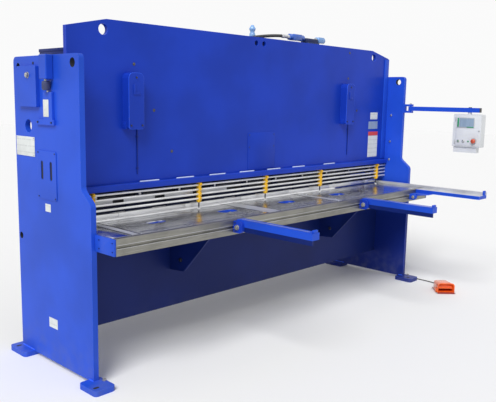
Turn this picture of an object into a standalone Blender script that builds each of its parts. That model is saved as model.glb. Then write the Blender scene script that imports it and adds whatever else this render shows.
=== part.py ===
"""Hydraulic guillotine shear for sheet metal, 10 ft class, as separate pieces.

Axes: X runs along the blades to the right, Y runs from the operator to the rear, Z is up.
All sizes are in metres. The pieces are laid out from the left side plate's outer face (X = 0),
the front edge of its leg (Y = 0) and the floor (Z = 0). place_origin() then moves everything so
that the origin is under the middle of the machine's own box.
"""

import math

import bmesh
import bpy
from mathutils import Matrix, Vector

COLLECTION = "metal_shear"
GAP = 0.0003                      # space left between pieces that touch

# Side plates
WIDTH = 3.190                     # over both side plates
PLATE = 0.032                     # thickness of a side plate
DEPTH = 0.767                     # front edge of the leg to the rear edge
PLATE_TOP = 1.745
UPPER_FRONT = 0.087               # front edge of the plate above the throat notch
NOTCH_LOW = 0.980
NOTCH_HIGH = 1.050
PLATE_FOOT = 0.024                # lower edge, let into the foot pads
PAD_HEIGHT = 0.030
PAD_OUT = 0.066                   # pad edge to the left of its plate's left face
PAD_IN = 0.062                    # pad edge to the right of its plate's left face
FRONT_PAD = (-0.115, 0.045)
REAR_PAD = (0.620, 0.805)
INNER_LEFT = PLATE + GAP
INNER_RIGHT = WIDTH - PLATE - GAP

# Front plate and nose bar
FACE = 0.253                      # front face of the front plate
FRONT_THICK = 0.028
FRONT_FOOT = 1.003
FRONT_SHOULDER = 1.896
FRONT_TOP = 1.949
SHOULDER_RUN = 0.251
NOSE_DEEP = 0.036
NOSE_TALL = 0.037

# Bed, table and blades
TABLE_TOP = 0.828
TABLE_THICK = 0.038
TABLE_FRONT = -0.173
RAIL_DEEP = 0.030
RAIL_TALL = 0.091
BED_FACE = 0.304
BED_THICK = 0.030
BED_FOOT = 0.208
BED_TOP = 0.735
CUT_LINE = 0.345                  # the plane where the two blades pass
BLADE_THICK = 0.025
BLADE_TALL = 0.080
BLADE_OPEN = 0.040                # upper blade's low end above the table
RAKE = 0.055                      # rise of the upper blade over its length
CUTOUTS = (0.475, 1.050, 1.630, 2.220)
CUTOUT_SIZE = (0.140, 0.080)
CUTOUT_Y = 0.068

# Arms in front of the table
ARM_PITCH_DROP = 0.043            # pivot bolt below the table top
ARM_TIP = -0.745
ARMS = (("left", 0.885), ("middle", 2.200))
ARM_WIDE = 0.060
ARM_TALL = 0.040
WEB_THICK = 0.012
WEB_TALL = 0.068
GROOVE_LOW = 0.776
GROOVE_HIGH = 0.792
GROOVE_DEEP = 0.014
SQUARING = (2.985, 3.115)
SQUARING_TIP = -0.715
SQUARING_TALL = 0.026
FENCE_TALL = 0.020

# Finger guard
GUARD_Y = 0.240
GUARD_BARS = (0.985, 0.9555, 0.926, 0.8965)
BAR_RADIUS = 0.0065
POST_SPACING = (-1.430, -0.635, 0.0, 0.635, 1.430)
POST_WIDE = 0.016

# Hold-down
CLAMP_Y = (0.2843, 0.3180)
CLAMP_Z = (0.838, 0.864)
CLAMP_POSTS = 10

# Ram and its cylinders
RAM_Y = (CUT_LINE + 0.0255, CUT_LINE + 0.065)
RAM_Z = (0.905, 1.170)
RAM_X = (0.050, 3.140)
CYLINDERS = (0.600, 2.590)
BARREL_RADIUS = 0.055
ROD_RADIUS = 0.030
BARREL_Z = (1.260, 1.5997)

# Tank, motor and valve behind the front plate
TANK_X = (0.060, 3.130)
TANK_Y = (0.2813, 0.580)
TANK_Z = (1.600, 1.785)
VALVE_Z = 2.001
VALVE_Y = 0.420

HOSE_RADIUS = 0.011
HOSE_ROUTE = (
    (1.420, 0.420, TANK_Z[1] + 0.0005), (1.420, 0.420, 1.815), (1.422, 0.419, 1.845), (1.430, 0.416, 1.874),
    (1.448, 0.410, 1.902), (1.476, 0.402, 1.925), (1.515, 0.392, 1.943), (1.565, 0.386, 1.956),
    (1.620, 0.385, 1.966), (1.680, 0.388, 1.975), (1.740, 0.396, 1.983), (1.800, 0.406, 1.990),
    (1.860, 0.414, 1.996), (1.920, 0.419, 2.000), (1.960, 0.420, VALVE_Z), (1.9995, 0.420, VALVE_Z),
)

# Back gauge
GAUGE_X = (0.580, 2.610)
GAUGE_Y = (0.700, 0.740)
SCREW_Z = 0.735
SCREW_RADIUS = 0.0125
SCREW_Y = (0.3863, 1.1285)
RAIL_END = 1.160

# Pendant
PENDANT_X = WIDTH - PLATE / 2
PENDANT_Z = (1.462, 1.498)
PENDANT_PIVOT_Y = 0.025
PENDANT_TIP = -0.590
BOX_DEEP = 0.070
BOX_Y = (-0.622, -0.388)
BOX_Z = (1.190, 1.448)
SWIVEL_Y = -0.505
STOP_PLACE = (-0.570, 1.239)
BUTTONS = (("start", -0.440), ("stop", -0.482))
BUTTON_Z = 1.234

# Foot pedal and its cable
PEDAL_PLACE = (3.072, -0.428)
PEDAL_TURN = math.radians(-46)
PEDAL_SIZE = (0.138, 0.170, 0.086)
CABLE_RADIUS = 0.004
GLAND_PLACE = (0.470, 0.250)
COIL_CENTRE = (3.360, 0.470)
COIL_MID = 0.044
COIL_HALF = 0.012
COIL_TALL = 0.024
DROP_ROUTE = (
    (3.2200, 0.4700, 0.2500), (3.2300, 0.4700, 0.2500), (3.2450, 0.4700, 0.2495),
    (3.2620, 0.4700, 0.2465), (3.2790, 0.4700, 0.2395), (3.2935, 0.4700, 0.2280),
    (3.3045, 0.4700, 0.2125), (3.3115, 0.4700, 0.1930), (3.3145, 0.4700, 0.1700),
    (3.3160, 0.4700, 0.1400), (3.3160, 0.4700, 0.1100), (3.3160, 0.4700, 0.0800),
    (3.3160, 0.4700, 0.0520), (3.3160, 0.4700, 0.0246),
)
RUN_ROUTE = (
    (3.4120, 0.4395, 0.0045), (3.4120, 0.4100, 0.0045), (3.4100, 0.3700, 0.0045),
    (3.4040, 0.3250, 0.0045), (3.3920, 0.2800, 0.0045), (3.3720, 0.2300, 0.0045),
    (3.3450, 0.1800, 0.0045), (3.3160, 0.1300, 0.0045), (3.2900, 0.0800, 0.0045),
    (3.2680, 0.0300, 0.0045), (3.2530, -0.0200, 0.0045), (3.2450, -0.0700, 0.0045),
    (3.2410, -0.1200, 0.0045), (3.2400, -0.1700, 0.0045), (3.2370, -0.2150, 0.0045),
    (3.2290, -0.2540, 0.0050), (3.2140, -0.2860, 0.0075), (3.1946, -0.3096, 0.0130),
    (3.1767, -0.3269, 0.0205), (3.1587, -0.3443, 0.0270), (3.1421, -0.3603, 0.0298),
    (3.1336, -0.3685, 0.0300),
)


# ---------------------------------------------------------------- scene and materials

def clear_scene():
    for thing in list(bpy.data.objects):
        bpy.data.objects.remove(thing)


def new_collection(name):
    made = bpy.data.collections.new(name)
    bpy.context.scene.collection.children.link(made)
    return made


def new_material(name, colour, roughness, metallic):
    made = bpy.data.materials.new(name)
    made.use_nodes = True
    shader = made.node_tree.nodes["Principled BSDF"]
    shader.inputs["Base Color"].default_value = (*colour, 1.0)
    shader.inputs["Roughness"].default_value = roughness
    shader.inputs["Metallic"].default_value = metallic
    return made


FINISHES = {
    "blue": ((0.020, 0.075, 0.620), 0.35, 0.0),
    "navy": ((0.012, 0.024, 0.180), 0.45, 0.0),
    "steel": ((0.520, 0.520, 0.530), 0.30, 1.0),
    "bright": ((0.780, 0.780, 0.800), 0.18, 1.0),
    "rail": ((0.330, 0.330, 0.310), 0.35, 1.0),
    "yellow": ((0.850, 0.520, 0.040), 0.40, 0.0),
    "grey": ((0.330, 0.340, 0.350), 0.50, 0.0),
    "black": ((0.020, 0.020, 0.022), 0.45, 0.0),
    "pale": ((0.800, 0.800, 0.780), 0.40, 0.0),
    "orange": ((0.900, 0.160, 0.030), 0.40, 0.0),
    "red": ((0.600, 0.030, 0.015), 0.35, 0.0),
    "green": ((0.020, 0.350, 0.080), 0.35, 0.0),
}


# ---------------------------------------------------------------- shapes

def keep(thing, finish):
    """Gives a finished piece its own material and puts it with the machine's pieces."""
    material = new_material(thing.name, *FINISHES[finish])
    thing.data.materials.clear()
    thing.data.materials.append(material)
    parts.objects.link(thing)
    return thing


def hide(thing):
    """Puts a tool body with the cutters, out of the render."""
    thing.hide_render = True
    thing.display_type = "WIRE"
    cutters.objects.link(thing)
    return thing


def mesh_object(name, shape):
    """A new object from a bmesh, with its doubles merged and its faces pointing out."""
    bmesh.ops.remove_doubles(shape, verts=shape.verts, dist=1e-6)
    bmesh.ops.recalc_face_normals(shape, faces=shape.faces)
    mesh = bpy.data.meshes.new(name)
    shape.to_mesh(mesh)
    shape.free()
    return bpy.data.objects.new(name, mesh)


def box(name, low, high):
    shape = bmesh.new()
    bmesh.ops.create_cube(shape, size=1.0)
    size = [h - l for l, h in zip(low, high)]
    centre = [(h + l) / 2 for l, h in zip(low, high)]
    bmesh.ops.scale(shape, vec=size, verts=shape.verts)
    bmesh.ops.translate(shape, vec=centre, verts=shape.verts)
    return mesh_object(name, shape)


def rod(name, start, end, radius, sides=28):
    """A round bar between two points."""
    start = Vector(start)
    along = Vector(end) - start
    turn = along.to_track_quat("Z", "Y").to_matrix().to_4x4()
    shape = bmesh.new()
    bmesh.ops.create_cone(
        shape, cap_ends=True, segments=sides, radius1=radius, radius2=radius, depth=along.length
    )
    bmesh.ops.transform(shape, matrix=Matrix.Translation(start + along / 2) @ turn, verts=shape.verts)
    return mesh_object(name, shape)


def bevel(thing, width, segments=2):
    tool = thing.modifiers.new("edges", "BEVEL")
    tool.width = width
    tool.segments = segments
    tool.limit_method = "ANGLE"
    return thing


def combine(thing, other, operation):
    tool = thing.modifiers.new(operation.lower(), "BOOLEAN")
    tool.operation = operation
    tool.solver = "EXACT"
    tool.object = hide(other)
    return thing


def circle(across, up, radius, sides=40):
    turns = [2 * math.pi * (i + 0.5) / sides for i in range(sides)]
    return [(across + radius * math.cos(a), up + radius * math.sin(a)) for a in turns]


def rounded(corners, steps=8):
    """An outline from (across, up, radius) corners, each corner rounded to its radius."""
    points = []
    for i, (a, b, radius) in enumerate(corners):
        here = Vector((a, b))
        if radius == 0:
            points.append(tuple(here))
            continue
        before = (Vector(corners[i - 1][:2]) - here).normalized()
        after = (Vector(corners[(i + 1) % len(corners)][:2]) - here).normalized()
        half = before.angle(after) / 2
        middle = (before + after).normalized() * (radius / math.sin(half)) + here
        first = here + before * (radius / math.tan(half)) - middle
        last = here + after * (radius / math.tan(half)) - middle
        sweep = first.angle_signed(last)
        for k in range(steps + 1):
            point = first.copy()
            point.rotate(Matrix.Rotation(-sweep * k / steps, 2))
            points.append(tuple(point + middle))
    return points


def rectangle(low, high, radius=0.0, steps=6):
    corners = [(low[0], low[1], radius), (high[0], low[1], radius),
               (high[0], high[1], radius), (low[0], high[1], radius)]
    return rounded(corners, steps)


def plate(name, outline, axis, low, high, holes=()):
    """A flat piece: an outline with holes, from low to high along one axis.

    The outline is in (Y, Z) for axis X, in (X, Z) for axis Y and in (X, Y) for axis Z.
    """
    flat = bpy.data.curves.new(name + "_outline", "CURVE")
    flat.dimensions = "2D"
    flat.fill_mode = "BOTH"
    flat.extrude = (high - low) / 2
    for points in (outline, *holes):
        spline = flat.splines.new("POLY")
        spline.points.add(len(points) - 1)
        for point, (a, b) in zip(spline.points, points):
            point.co = (a, b, 0.0, 1.0)
        spline.use_cyclic_u = True
    drawn = bpy.data.objects.new(name + "_outline", flat)
    bpy.context.scene.collection.objects.link(drawn)
    graph = bpy.context.evaluated_depsgraph_get()
    mesh = bpy.data.meshes.new_from_object(drawn.evaluated_get(graph))
    bpy.data.objects.remove(drawn)
    shape = bmesh.new()
    shape.from_mesh(mesh)
    bpy.data.meshes.remove(mesh)
    middle = (low + high) / 2
    for vert in shape.verts:
        a, b, h = vert.co
        h += middle
        vert.co = {"X": (h, a, b), "Y": (a, h, b), "Z": (a, b, h)}[axis]
    return mesh_object(name, shape)


def turned(name, profile, place, axis="Z", steps=32):
    """A turned piece: (radius, height) points from top to bottom on the outer side, about an axis."""
    line = bpy.data.meshes.new(name)
    line.from_pydata([(r, 0.0, h) for r, h in profile],
                     [(i, i + 1) for i in range(len(profile) - 1)], [])
    thing = bpy.data.objects.new(name, line)
    spin = thing.modifiers.new("turn", "SCREW")
    spin.steps = steps
    spin.render_steps = steps
    spin.use_merge_vertices = True
    spin.merge_threshold = 0.00001
    spin.use_smooth_shade = True
    turns = {"Z": Matrix.Identity(4), "X": Matrix.Rotation(math.pi / 2, 4, "Y"),
             "-X": Matrix.Rotation(-math.pi / 2, 4, "Y")}
    thing.matrix_world = Matrix.Translation(place) @ turns[axis]
    return thing


def smooth_route(points, spacing):
    """Points along a smooth curve through the route's own points, about one spacing apart."""
    route = [Vector(p) for p in points]
    route = [2 * route[0] - route[1], *route, 2 * route[-1] - route[-2]]
    made = []
    for p0, p1, p2, p3 in zip(route, route[1:], route[2:], route[3:]):
        count = max(1, round((p2 - p1).length / spacing))
        for k in range(count):
            t = k / count
            made.append(0.5 * ((2 * p1) + (p2 - p0) * t + (2 * p0 - 5 * p1 + 4 * p2 - p3) * t * t
                               + (3 * p1 - p0 - 3 * p2 + p3) * t ** 3))
    return [*made, route[-2]]


def tube(name, points, radius, finish):
    path = bpy.data.curves.new(name, "CURVE")
    path.dimensions = "3D"
    path.bevel_depth = radius
    path.bevel_resolution = 2
    path.use_fill_caps = True
    spline = path.splines.new("POLY")
    spline.points.add(len(points) - 1)
    for point, place in zip(spline.points, points):
        point.co = (*place, 1.0)
    return keep(bpy.data.objects.new(name, path), finish)


def set_origin(thing, point):
    """Moves a piece's origin to a point and leaves its shape where it is."""
    thing.data.transform(Matrix.Translation(-Vector(point)))
    thing.location = point
    return thing


# ---------------------------------------------------------------- frame

def side_outline():
    return rounded([
        (0.0, PLATE_FOOT, 0.0), (DEPTH, PLATE_FOOT, 0.0), (DEPTH, PLATE_TOP, 0.030),
        (UPPER_FRONT, PLATE_TOP, 0.024), (UPPER_FRONT, NOTCH_HIGH, 0.034), (0.0, NOTCH_LOW, 0.040),
    ])


def foot_pad(name, left, front, rear):
    outline = rectangle((left - PAD_OUT, front), (left + PAD_IN, rear), 0.022, 5)
    return plate(name, outline, "Z", 0.0, PAD_HEIGHT)


def side_plates():
    for name, left in (("left_side_plate", 0.0), ("right_side_plate", WIDTH - PLATE)):
        holes = [circle(0.713, 1.690, 0.020), circle(0.146, 1.700, 0.025),
                 circle(0.615, 1.360, 0.037), circle(0.738, 0.711, 0.020, 24)]
        side = plate(name, side_outline(), "X", left, left + PLATE, holes)
        for end, (front, rear) in (("front", FRONT_PAD), ("rear", REAR_PAD)):
            combine(side, foot_pad(f"{name}_{end}_pad", left, front, rear), "UNION")
        keep(side, "blue")


def front_plate():
    right = WIDTH - SHOULDER_RUN - PLATE
    outline = [
        (INNER_LEFT, FRONT_FOOT), (INNER_RIGHT, FRONT_FOOT), (INNER_RIGHT, FRONT_SHOULDER),
        (right, FRONT_TOP), (PLATE + SHOULDER_RUN, FRONT_TOP), (INNER_LEFT, FRONT_SHOULDER),
    ]
    holes = [circle(0.262, 1.893, 0.030), circle(WIDTH - 0.262, 1.893, 0.030),
             circle(1.488, 1.909, 0.018, 24), circle(1.563, 1.909, 0.018, 24)]
    keep(plate("front_plate", outline, "Y", FACE, FACE + FRONT_THICK, holes), "blue")
    low = (INNER_LEFT, FACE - GAP - NOSE_DEEP, FRONT_FOOT)
    high = (INNER_RIGHT, FACE - GAP, FRONT_FOOT + NOSE_TALL)
    keep(bevel(box("nose_bar", low, high), 0.004, 1), "blue")


def gusset(name, left):
    outline = [(BED_FACE + 0.010, 0.450), (BED_FACE + 0.010, 0.7895), (-0.080, 0.7895),
               (-0.080, 0.735), (0.175, 0.460)]
    return plate(name, outline, "X", left, left + 0.018)


def bed():
    frame = box("bed_frame", (INNER_LEFT, BED_FACE, BED_FOOT), (INNER_RIGHT, BED_FACE + BED_THICK, BED_TOP))
    seat = box("blade_seat", (INNER_LEFT, 0.220, 0.700),
               (INNER_RIGHT, CUT_LINE - BLADE_THICK - GAP, TABLE_TOP - TABLE_THICK - GAP))
    combine(frame, seat, "UNION")
    combine(frame, gusset("left_gusset", 0.775), "UNION")
    combine(frame, gusset("right_gusset", 2.330), "UNION")
    keep(frame, "navy")


def tie_beam():
    keep(box("rear_tie_beam", (INNER_LEFT, 0.640, 1.410), (INNER_RIGHT, 0.740, 1.560)), "blue")


# ---------------------------------------------------------------- table

def table():
    half_x, half_y = CUTOUT_SIZE[0] / 2, CUTOUT_SIZE[1] / 2
    holes = [rectangle((x - half_x, CUTOUT_Y - half_y), (x + half_x, CUTOUT_Y + half_y), 0.020)
             for x in CUTOUTS]
    rear = CUT_LINE - BLADE_THICK - GAP
    outline = [(INNER_LEFT, TABLE_FRONT + RAIL_DEEP + GAP), (INNER_RIGHT, TABLE_FRONT + RAIL_DEEP + GAP),
               (INNER_RIGHT, rear), (INNER_LEFT, rear)]
    keep(plate("table_plate", outline, "Z", TABLE_TOP - TABLE_THICK, TABLE_TOP, holes), "steel")


def front_rail():
    back = TABLE_FRONT + RAIL_DEEP
    foot = TABLE_TOP - RAIL_TALL
    slot = TABLE_FRONT + GROOVE_DEEP
    outline = [(TABLE_FRONT, foot), (back, foot), (back, TABLE_TOP), (TABLE_FRONT, TABLE_TOP),
               (TABLE_FRONT, GROOVE_HIGH), (slot, GROOVE_HIGH), (slot, GROOVE_LOW),
               (TABLE_FRONT, GROOVE_LOW)]
    keep(plate("table_front_rail", outline, "X", PLATE, WIDTH - PLATE), "rail")


def blades():
    low = (INNER_LEFT + 0.004, CUT_LINE - BLADE_THICK, BED_TOP + GAP)
    high = (INNER_RIGHT - 0.004, CUT_LINE, TABLE_TOP)
    keep(box("lower_blade", low, high), "bright")
    left, right = RAM_X
    foot = TABLE_TOP + BLADE_OPEN
    outline = [(left, foot), (right, foot + RAKE),
               (right, foot + RAKE + BLADE_TALL), (left, foot + BLADE_TALL)]
    upper = plate("upper_blade", outline, "Y", CUT_LINE + 0.0005, CUT_LINE + 0.0005 + BLADE_THICK - 0.0005)
    keep(set_origin(upper, (WIDTH / 2, CUT_LINE, foot)), "bright")


def squaring_arm():
    left, right = SQUARING
    foot = TABLE_TOP - SQUARING_TALL
    outline = [(left, foot), (right, foot), (right, TABLE_TOP), (left, TABLE_TOP)]
    keep(plate("squaring_arm", outline, "Y", SQUARING_TIP, TABLE_FRONT - GAP), "blue")
    low = (right - 0.014, SQUARING_TIP + 0.004, TABLE_TOP + GAP)
    high = (right + 0.014, CLAMP_Y[0] - 0.004, TABLE_TOP + GAP + FENCE_TALL)
    keep(box("squaring_fence", low, high), "steel")


def support_arms():
    pivot_y = TABLE_FRONT - 0.030
    pivot_z = TABLE_TOP - ARM_PITCH_DROP
    for side, left in ARMS:
        # The bracket slides in the rail's groove on its tongue, and carries the arm on a bolt.
        outline = rounded([
            (TABLE_FRONT - GAP, 0.752, 0.0), (TABLE_FRONT - GAP, GROOVE_LOW + 0.001, 0.0),
            (TABLE_FRONT + 0.010, GROOVE_LOW + 0.001, 0.0), (TABLE_FRONT + 0.010, GROOVE_HIGH - 0.001, 0.0),
            (TABLE_FRONT - GAP, GROOVE_HIGH - 0.001, 0.0), (TABLE_FRONT - GAP, 0.822, 0.0),
            (TABLE_FRONT - 0.068, 0.822, 0.024), (TABLE_FRONT - 0.068, 0.752, 0.024),
        ])
        bracket = plate(f"{side}_arm_bracket", outline, "X", left - 0.022, left - 0.0005)
        low, high = (left - 0.030, pivot_y, pivot_z), (left + 0.030, pivot_y, pivot_z)
        bolt = rod(f"{side}_arm_bolt", low, high, 0.008)
        combine(bracket, bolt, "UNION")
        keep(set_origin(bracket, (left, pivot_y, pivot_z)), "blue")
        outline = [
            (left, TABLE_TOP - WEB_TALL), (left + WEB_THICK, TABLE_TOP - WEB_TALL),
            (left + WEB_THICK, TABLE_TOP - ARM_TALL),
            (left + ARM_WIDE, TABLE_TOP - ARM_TALL), (left + ARM_WIDE, TABLE_TOP), (left, TABLE_TOP),
        ]
        arm = plate(f"{side}_support_arm", outline, "Y", ARM_TIP, TABLE_FRONT - 0.004)
        # The arm turns on the bracket's bolt, and its web is cut short so that it clears the rail.
        low, high = (left - 0.01, pivot_y, pivot_z), (left + 0.04, pivot_y, pivot_z)
        combine(arm, rod(f"{side}_arm_eye", low, high, 0.0086), "DIFFERENCE")
        low = (left - 0.01, TABLE_FRONT - 0.060, TABLE_TOP - WEB_TALL - 0.010)
        high = (left + WEB_THICK + 0.060, TABLE_FRONT + 0.010, pivot_z - 0.012)
        combine(arm, box(f"{side}_arm_relief", low, high), "DIFFERENCE")
        keep(set_origin(arm, (left, pivot_y, pivot_z)), "blue")


# ---------------------------------------------------------------- guard and hold-down

def guard():
    foot = GUARD_BARS[-1] - 0.024
    top = FRONT_FOOT - 0.0005
    rear, front = GUARD_Y + 0.018, GUARD_Y - 0.018
    for i, place in enumerate(POST_SPACING):
        middle = WIDTH / 2 + place
        outline = [(GUARD_Y - 0.009, foot), (GUARD_Y + 0.009, foot)]
        for up in reversed(GUARD_BARS):
            outline += [(rear, up - 0.009), (rear, up + 0.009), (rear - 0.006, up + 0.0145)]
        outline += [(rear, top), (front, top)]
        for up in GUARD_BARS:
            outline += [(front + 0.006, up + 0.0145), (front, up + 0.009), (front, up - 0.009)]
        holes = [circle(GUARD_Y, up, BAR_RADIUS + 0.0006, 16) for up in GUARD_BARS]
        left, right = middle - POST_WIDE / 2, middle + POST_WIDE / 2
        post = plate(f"guard_post_{i + 1}", outline, "X", left, right, holes)
        keep(post, "yellow")
    for i, up in enumerate(GUARD_BARS):
        low, high = (INNER_LEFT + 0.001, GUARD_Y, up), (INNER_RIGHT - 0.001, GUARD_Y, up)
        bar = rod(f"guard_bar_{i + 1}", low, high, BAR_RADIUS, 20)
        keep(bar, "bright")


def hold_down():
    """The clamp bar with its row of posts, and the guide bar that they slide down."""
    front, rear = CLAMP_Y
    left, right = 0.060, 3.130
    pitch = (right - left) / CLAMP_POSTS
    outline = [(left, CLAMP_Z[0]), (right, CLAMP_Z[0]), (right, CLAMP_Z[1])]
    for i in reversed(range(CLAMP_POSTS)):
        middle = left + pitch * (i + 0.5)
        outline += [(middle + 0.095, CLAMP_Z[1]), (middle + 0.095, 0.915), (middle + 0.030, 0.915),
                    (middle + 0.030, 0.985), (middle - 0.030, 0.985), (middle - 0.030, 0.915),
                    (middle - 0.095, 0.915), (middle - 0.095, CLAMP_Z[1])]
    outline.append((left, CLAMP_Z[1]))
    clamp = plate("hold_down_bar", outline, "Y", front, front + 0.0177)
    keep(set_origin(clamp, (WIDTH / 2, front, CLAMP_Z[0])), "bright")
    keep(box("hold_down_guide", (INNER_LEFT, front + 0.018, 0.960), (INNER_RIGHT, 0.335, 1.090)), "navy")


# ---------------------------------------------------------------- ram and hydraulics

def ram():
    left, right = RAM_X
    outline = [(left, RAM_Z[0]), (right, RAM_Z[0] + RAKE), (right, RAM_Z[1]), (left, RAM_Z[1])]
    beam = plate("ram_beam", outline, "Y", *RAM_Y)
    keep(set_origin(beam, (WIDTH / 2, RAM_Y[0], RAM_Z[0])), "navy")
    middle = sum(RAM_Y) / 2
    for side, across in zip(("left", "right"), CYLINDERS):
        foot, top = BARREL_Z
        bore = ROD_RADIUS + 0.0008
        rim = BARREL_RADIUS + 0.012
        profile = [(0.0, top), (BARREL_RADIUS, top), (BARREL_RADIUS, foot + 0.030), (rim, foot + 0.030),
                   (rim, foot), (bore, foot), (bore, top - 0.060), (0.0, top - 0.060)]
        keep(turned(f"{side}_cylinder", profile, (across, middle, 0.0)), "blue")
        low = RAM_Z[1] + GAP
        profile = [(0.0, foot + 0.190), (ROD_RADIUS, foot + 0.190), (ROD_RADIUS, low + 0.030),
                   (0.045, low + 0.030), (0.045, low), (0.0, low)]
        keep(turned(f"{side}_piston_rod", profile, (across, middle, 0.0)), "bright")


def tank():
    body = box("oil_tank", (TANK_X[0], TANK_Y[0], TANK_Z[0]), (TANK_X[1], TANK_Y[1], TANK_Z[1]))
    profile = [(0.0, 2.050), (0.012, 2.046), (0.024, 2.030), (0.024, 1.996), (0.015, 1.988),
               (0.015, 1.770), (0.0, 1.770)]
    breather = turned("tank_breather", profile, (1.620, 0.420, 0.0), steps=24)
    combine(body, breather, "UNION")
    keep(body, "navy")


def motor():
    place = (1.240, 0.430, 1.870)
    profile = [(0.0, 0.0), (0.045, 0.0), (0.045, -0.060), (0.078, -0.066), (0.082, -0.080),
               (0.082, -0.300), (0.070, -0.330), (0.0, -0.330)]
    body = turned("pump_motor", profile, place, "X")
    low = (place[0] - 0.270, place[1] - 0.060, TANK_Z[1] + GAP)
    high = (place[0] - 0.110, place[1] + 0.060, place[2] - 0.060)
    combine(body, box("motor_foot", low, high), "UNION")
    keep(body, "grey")


def valve():
    low, high = (2.200, VALVE_Y - 0.045, TANK_Z[1] + GAP), (2.340, VALVE_Y + 0.045, VALVE_Z + 0.002)
    block = box("valve_block", low, high)
    spool = rod("valve_spool", (2.000, VALVE_Y, VALVE_Z), (2.456, VALVE_Y, VALVE_Z), 0.024)
    combine(block, spool, "UNION")
    keep(block, "grey")


def hose():
    tube("pressure_hose", smooth_route(HOSE_ROUTE, 0.030), HOSE_RADIUS, "black")


def covers():
    for side, left in (("left", 0.385), ("right", 2.480)):
        outline = rounded([(left, 1.350, 0.012), (left + 0.106, 1.350, 0.012),
                           (left + 0.106, 1.667, 0.030), (left, 1.667, 0.030)], 3)
        keep(plate(f"{side}_cylinder_cover", outline, "Y", FACE - 0.060, FACE - GAP), "blue")


# ---------------------------------------------------------------- left side fittings

def left_side_fittings():
    keep(bevel(box("adjuster_hood", (-0.045, 0.330, 1.616), (-GAP, 0.405, PLATE_TOP)), 0.004, 1), "blue")
    outline = rectangle((0.480, 1.468), (0.688, 1.690), 0.004, 1)
    keep(plate("side_doubler", outline, "X", -0.022, -GAP), "blue")
    outline = [(0.317, 1.373), (0.501, 1.373), (0.501, 1.402), (0.420, 1.402), (0.420, 1.550),
               (0.330, 1.550), (0.330, 1.402), (0.317, 1.402)]
    keep(plate("scale_block", outline, "X", -0.015, -GAP), "blue")
    slots = [rectangle((y - 0.012, 1.069), (y + 0.012, 1.174), 0.011, 2) for y in (0.377, 0.471)]
    outline = rectangle((0.322, 0.960), (0.520, 1.232), 0.010, 2)
    keep(plate("access_cover", outline, "X", -0.004, -GAP, slots), "blue")
    profile = [(0.0, 0.056), (0.014, 0.056), (0.021, 0.048), (0.021, 0.010), (0.016, 0.004), (0.0, 0.004)]
    keep(turned("adjuster_knob", profile, (-0.025, 0.368, 1.552)), "grey")


# ---------------------------------------------------------------- back gauge

def back_gauge():
    holes = [circle(x, SCREW_Z, SCREW_RADIUS + 0.0012, 24) for x in GAUGE_X]
    outline = [(0.300, 0.860), (0.300, 0.795)]
    for x in GAUGE_X:
        outline += [(x - 0.035, 0.795), (x - 0.035, 0.6905), (x + 0.035, 0.6905), (x + 0.035, 0.795)]
    outline += [(2.890, 0.795), (2.890, 0.860)]
    bar = plate("back_gauge_bar", outline, "Y", *GAUGE_Y, holes)
    keep(set_origin(bar, (WIDTH / 2, GAUGE_Y[0], 0.795)), "steel")
    back = BED_FACE + BED_THICK + GAP
    for side, x in zip(("left", "right"), GAUGE_X):
        outline = [(back, 0.620), (RAIL_END, 0.620), (RAIL_END, 0.765), (SCREW_Y[1] + 0.0015, 0.765),
                   (SCREW_Y[1] + 0.0015, 0.690), (SCREW_Y[0] - 0.0015, 0.690), (SCREW_Y[0] - 0.0015, 0.765),
                   (SCREW_Y[0] - 0.025, 0.765), (SCREW_Y[0] - 0.025, 0.700), (back, 0.700)]
        keep(plate(f"{side}_gauge_rail", outline, "X", x - 0.030, x + 0.030), "navy")
        near, far = (x, SCREW_Y[0], SCREW_Z), (x, SCREW_Y[1], SCREW_Z)
        keep(set_origin(rod(f"{side}_gauge_screw", near, far, SCREW_RADIUS, 24), near), "bright")


# ---------------------------------------------------------------- pendant

def pendant():
    x, y = PENDANT_X, PENDANT_PIVOT_Y
    low, high = PENDANT_Z
    front, back = y - 0.018, UPPER_FRONT - GAP
    outline = [(front, low - 0.018), (back, low - 0.018), (back, high + 0.018), (front, high + 0.018),
               (front, high + 0.0008), (back - 0.016, high + 0.0008), (back - 0.016, low - 0.0008),
               (front, low - 0.0008)]
    bracket = plate("pendant_bracket", outline, "X", x - 0.016, x + 0.016)
    pin = rod("pendant_pin", (x, y, low - 0.010), (x, y, high + 0.026), 0.006, 20)
    combine(bracket, pin, "UNION")
    keep(bracket, "blue")
    outline = rounded([(x - 0.018, PENDANT_TIP, 0.0), (x + 0.018, PENDANT_TIP, 0.0),
                       (x + 0.018, y + 0.018, 0.017), (x - 0.018, y + 0.018, 0.017)])
    arm = plate("pendant_arm", outline, "Z", low, high, [circle(x, y, 0.0066, 20)])
    keep(set_origin(arm, (x, y, low)), "blue")
    pendant_box(x)


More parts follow.
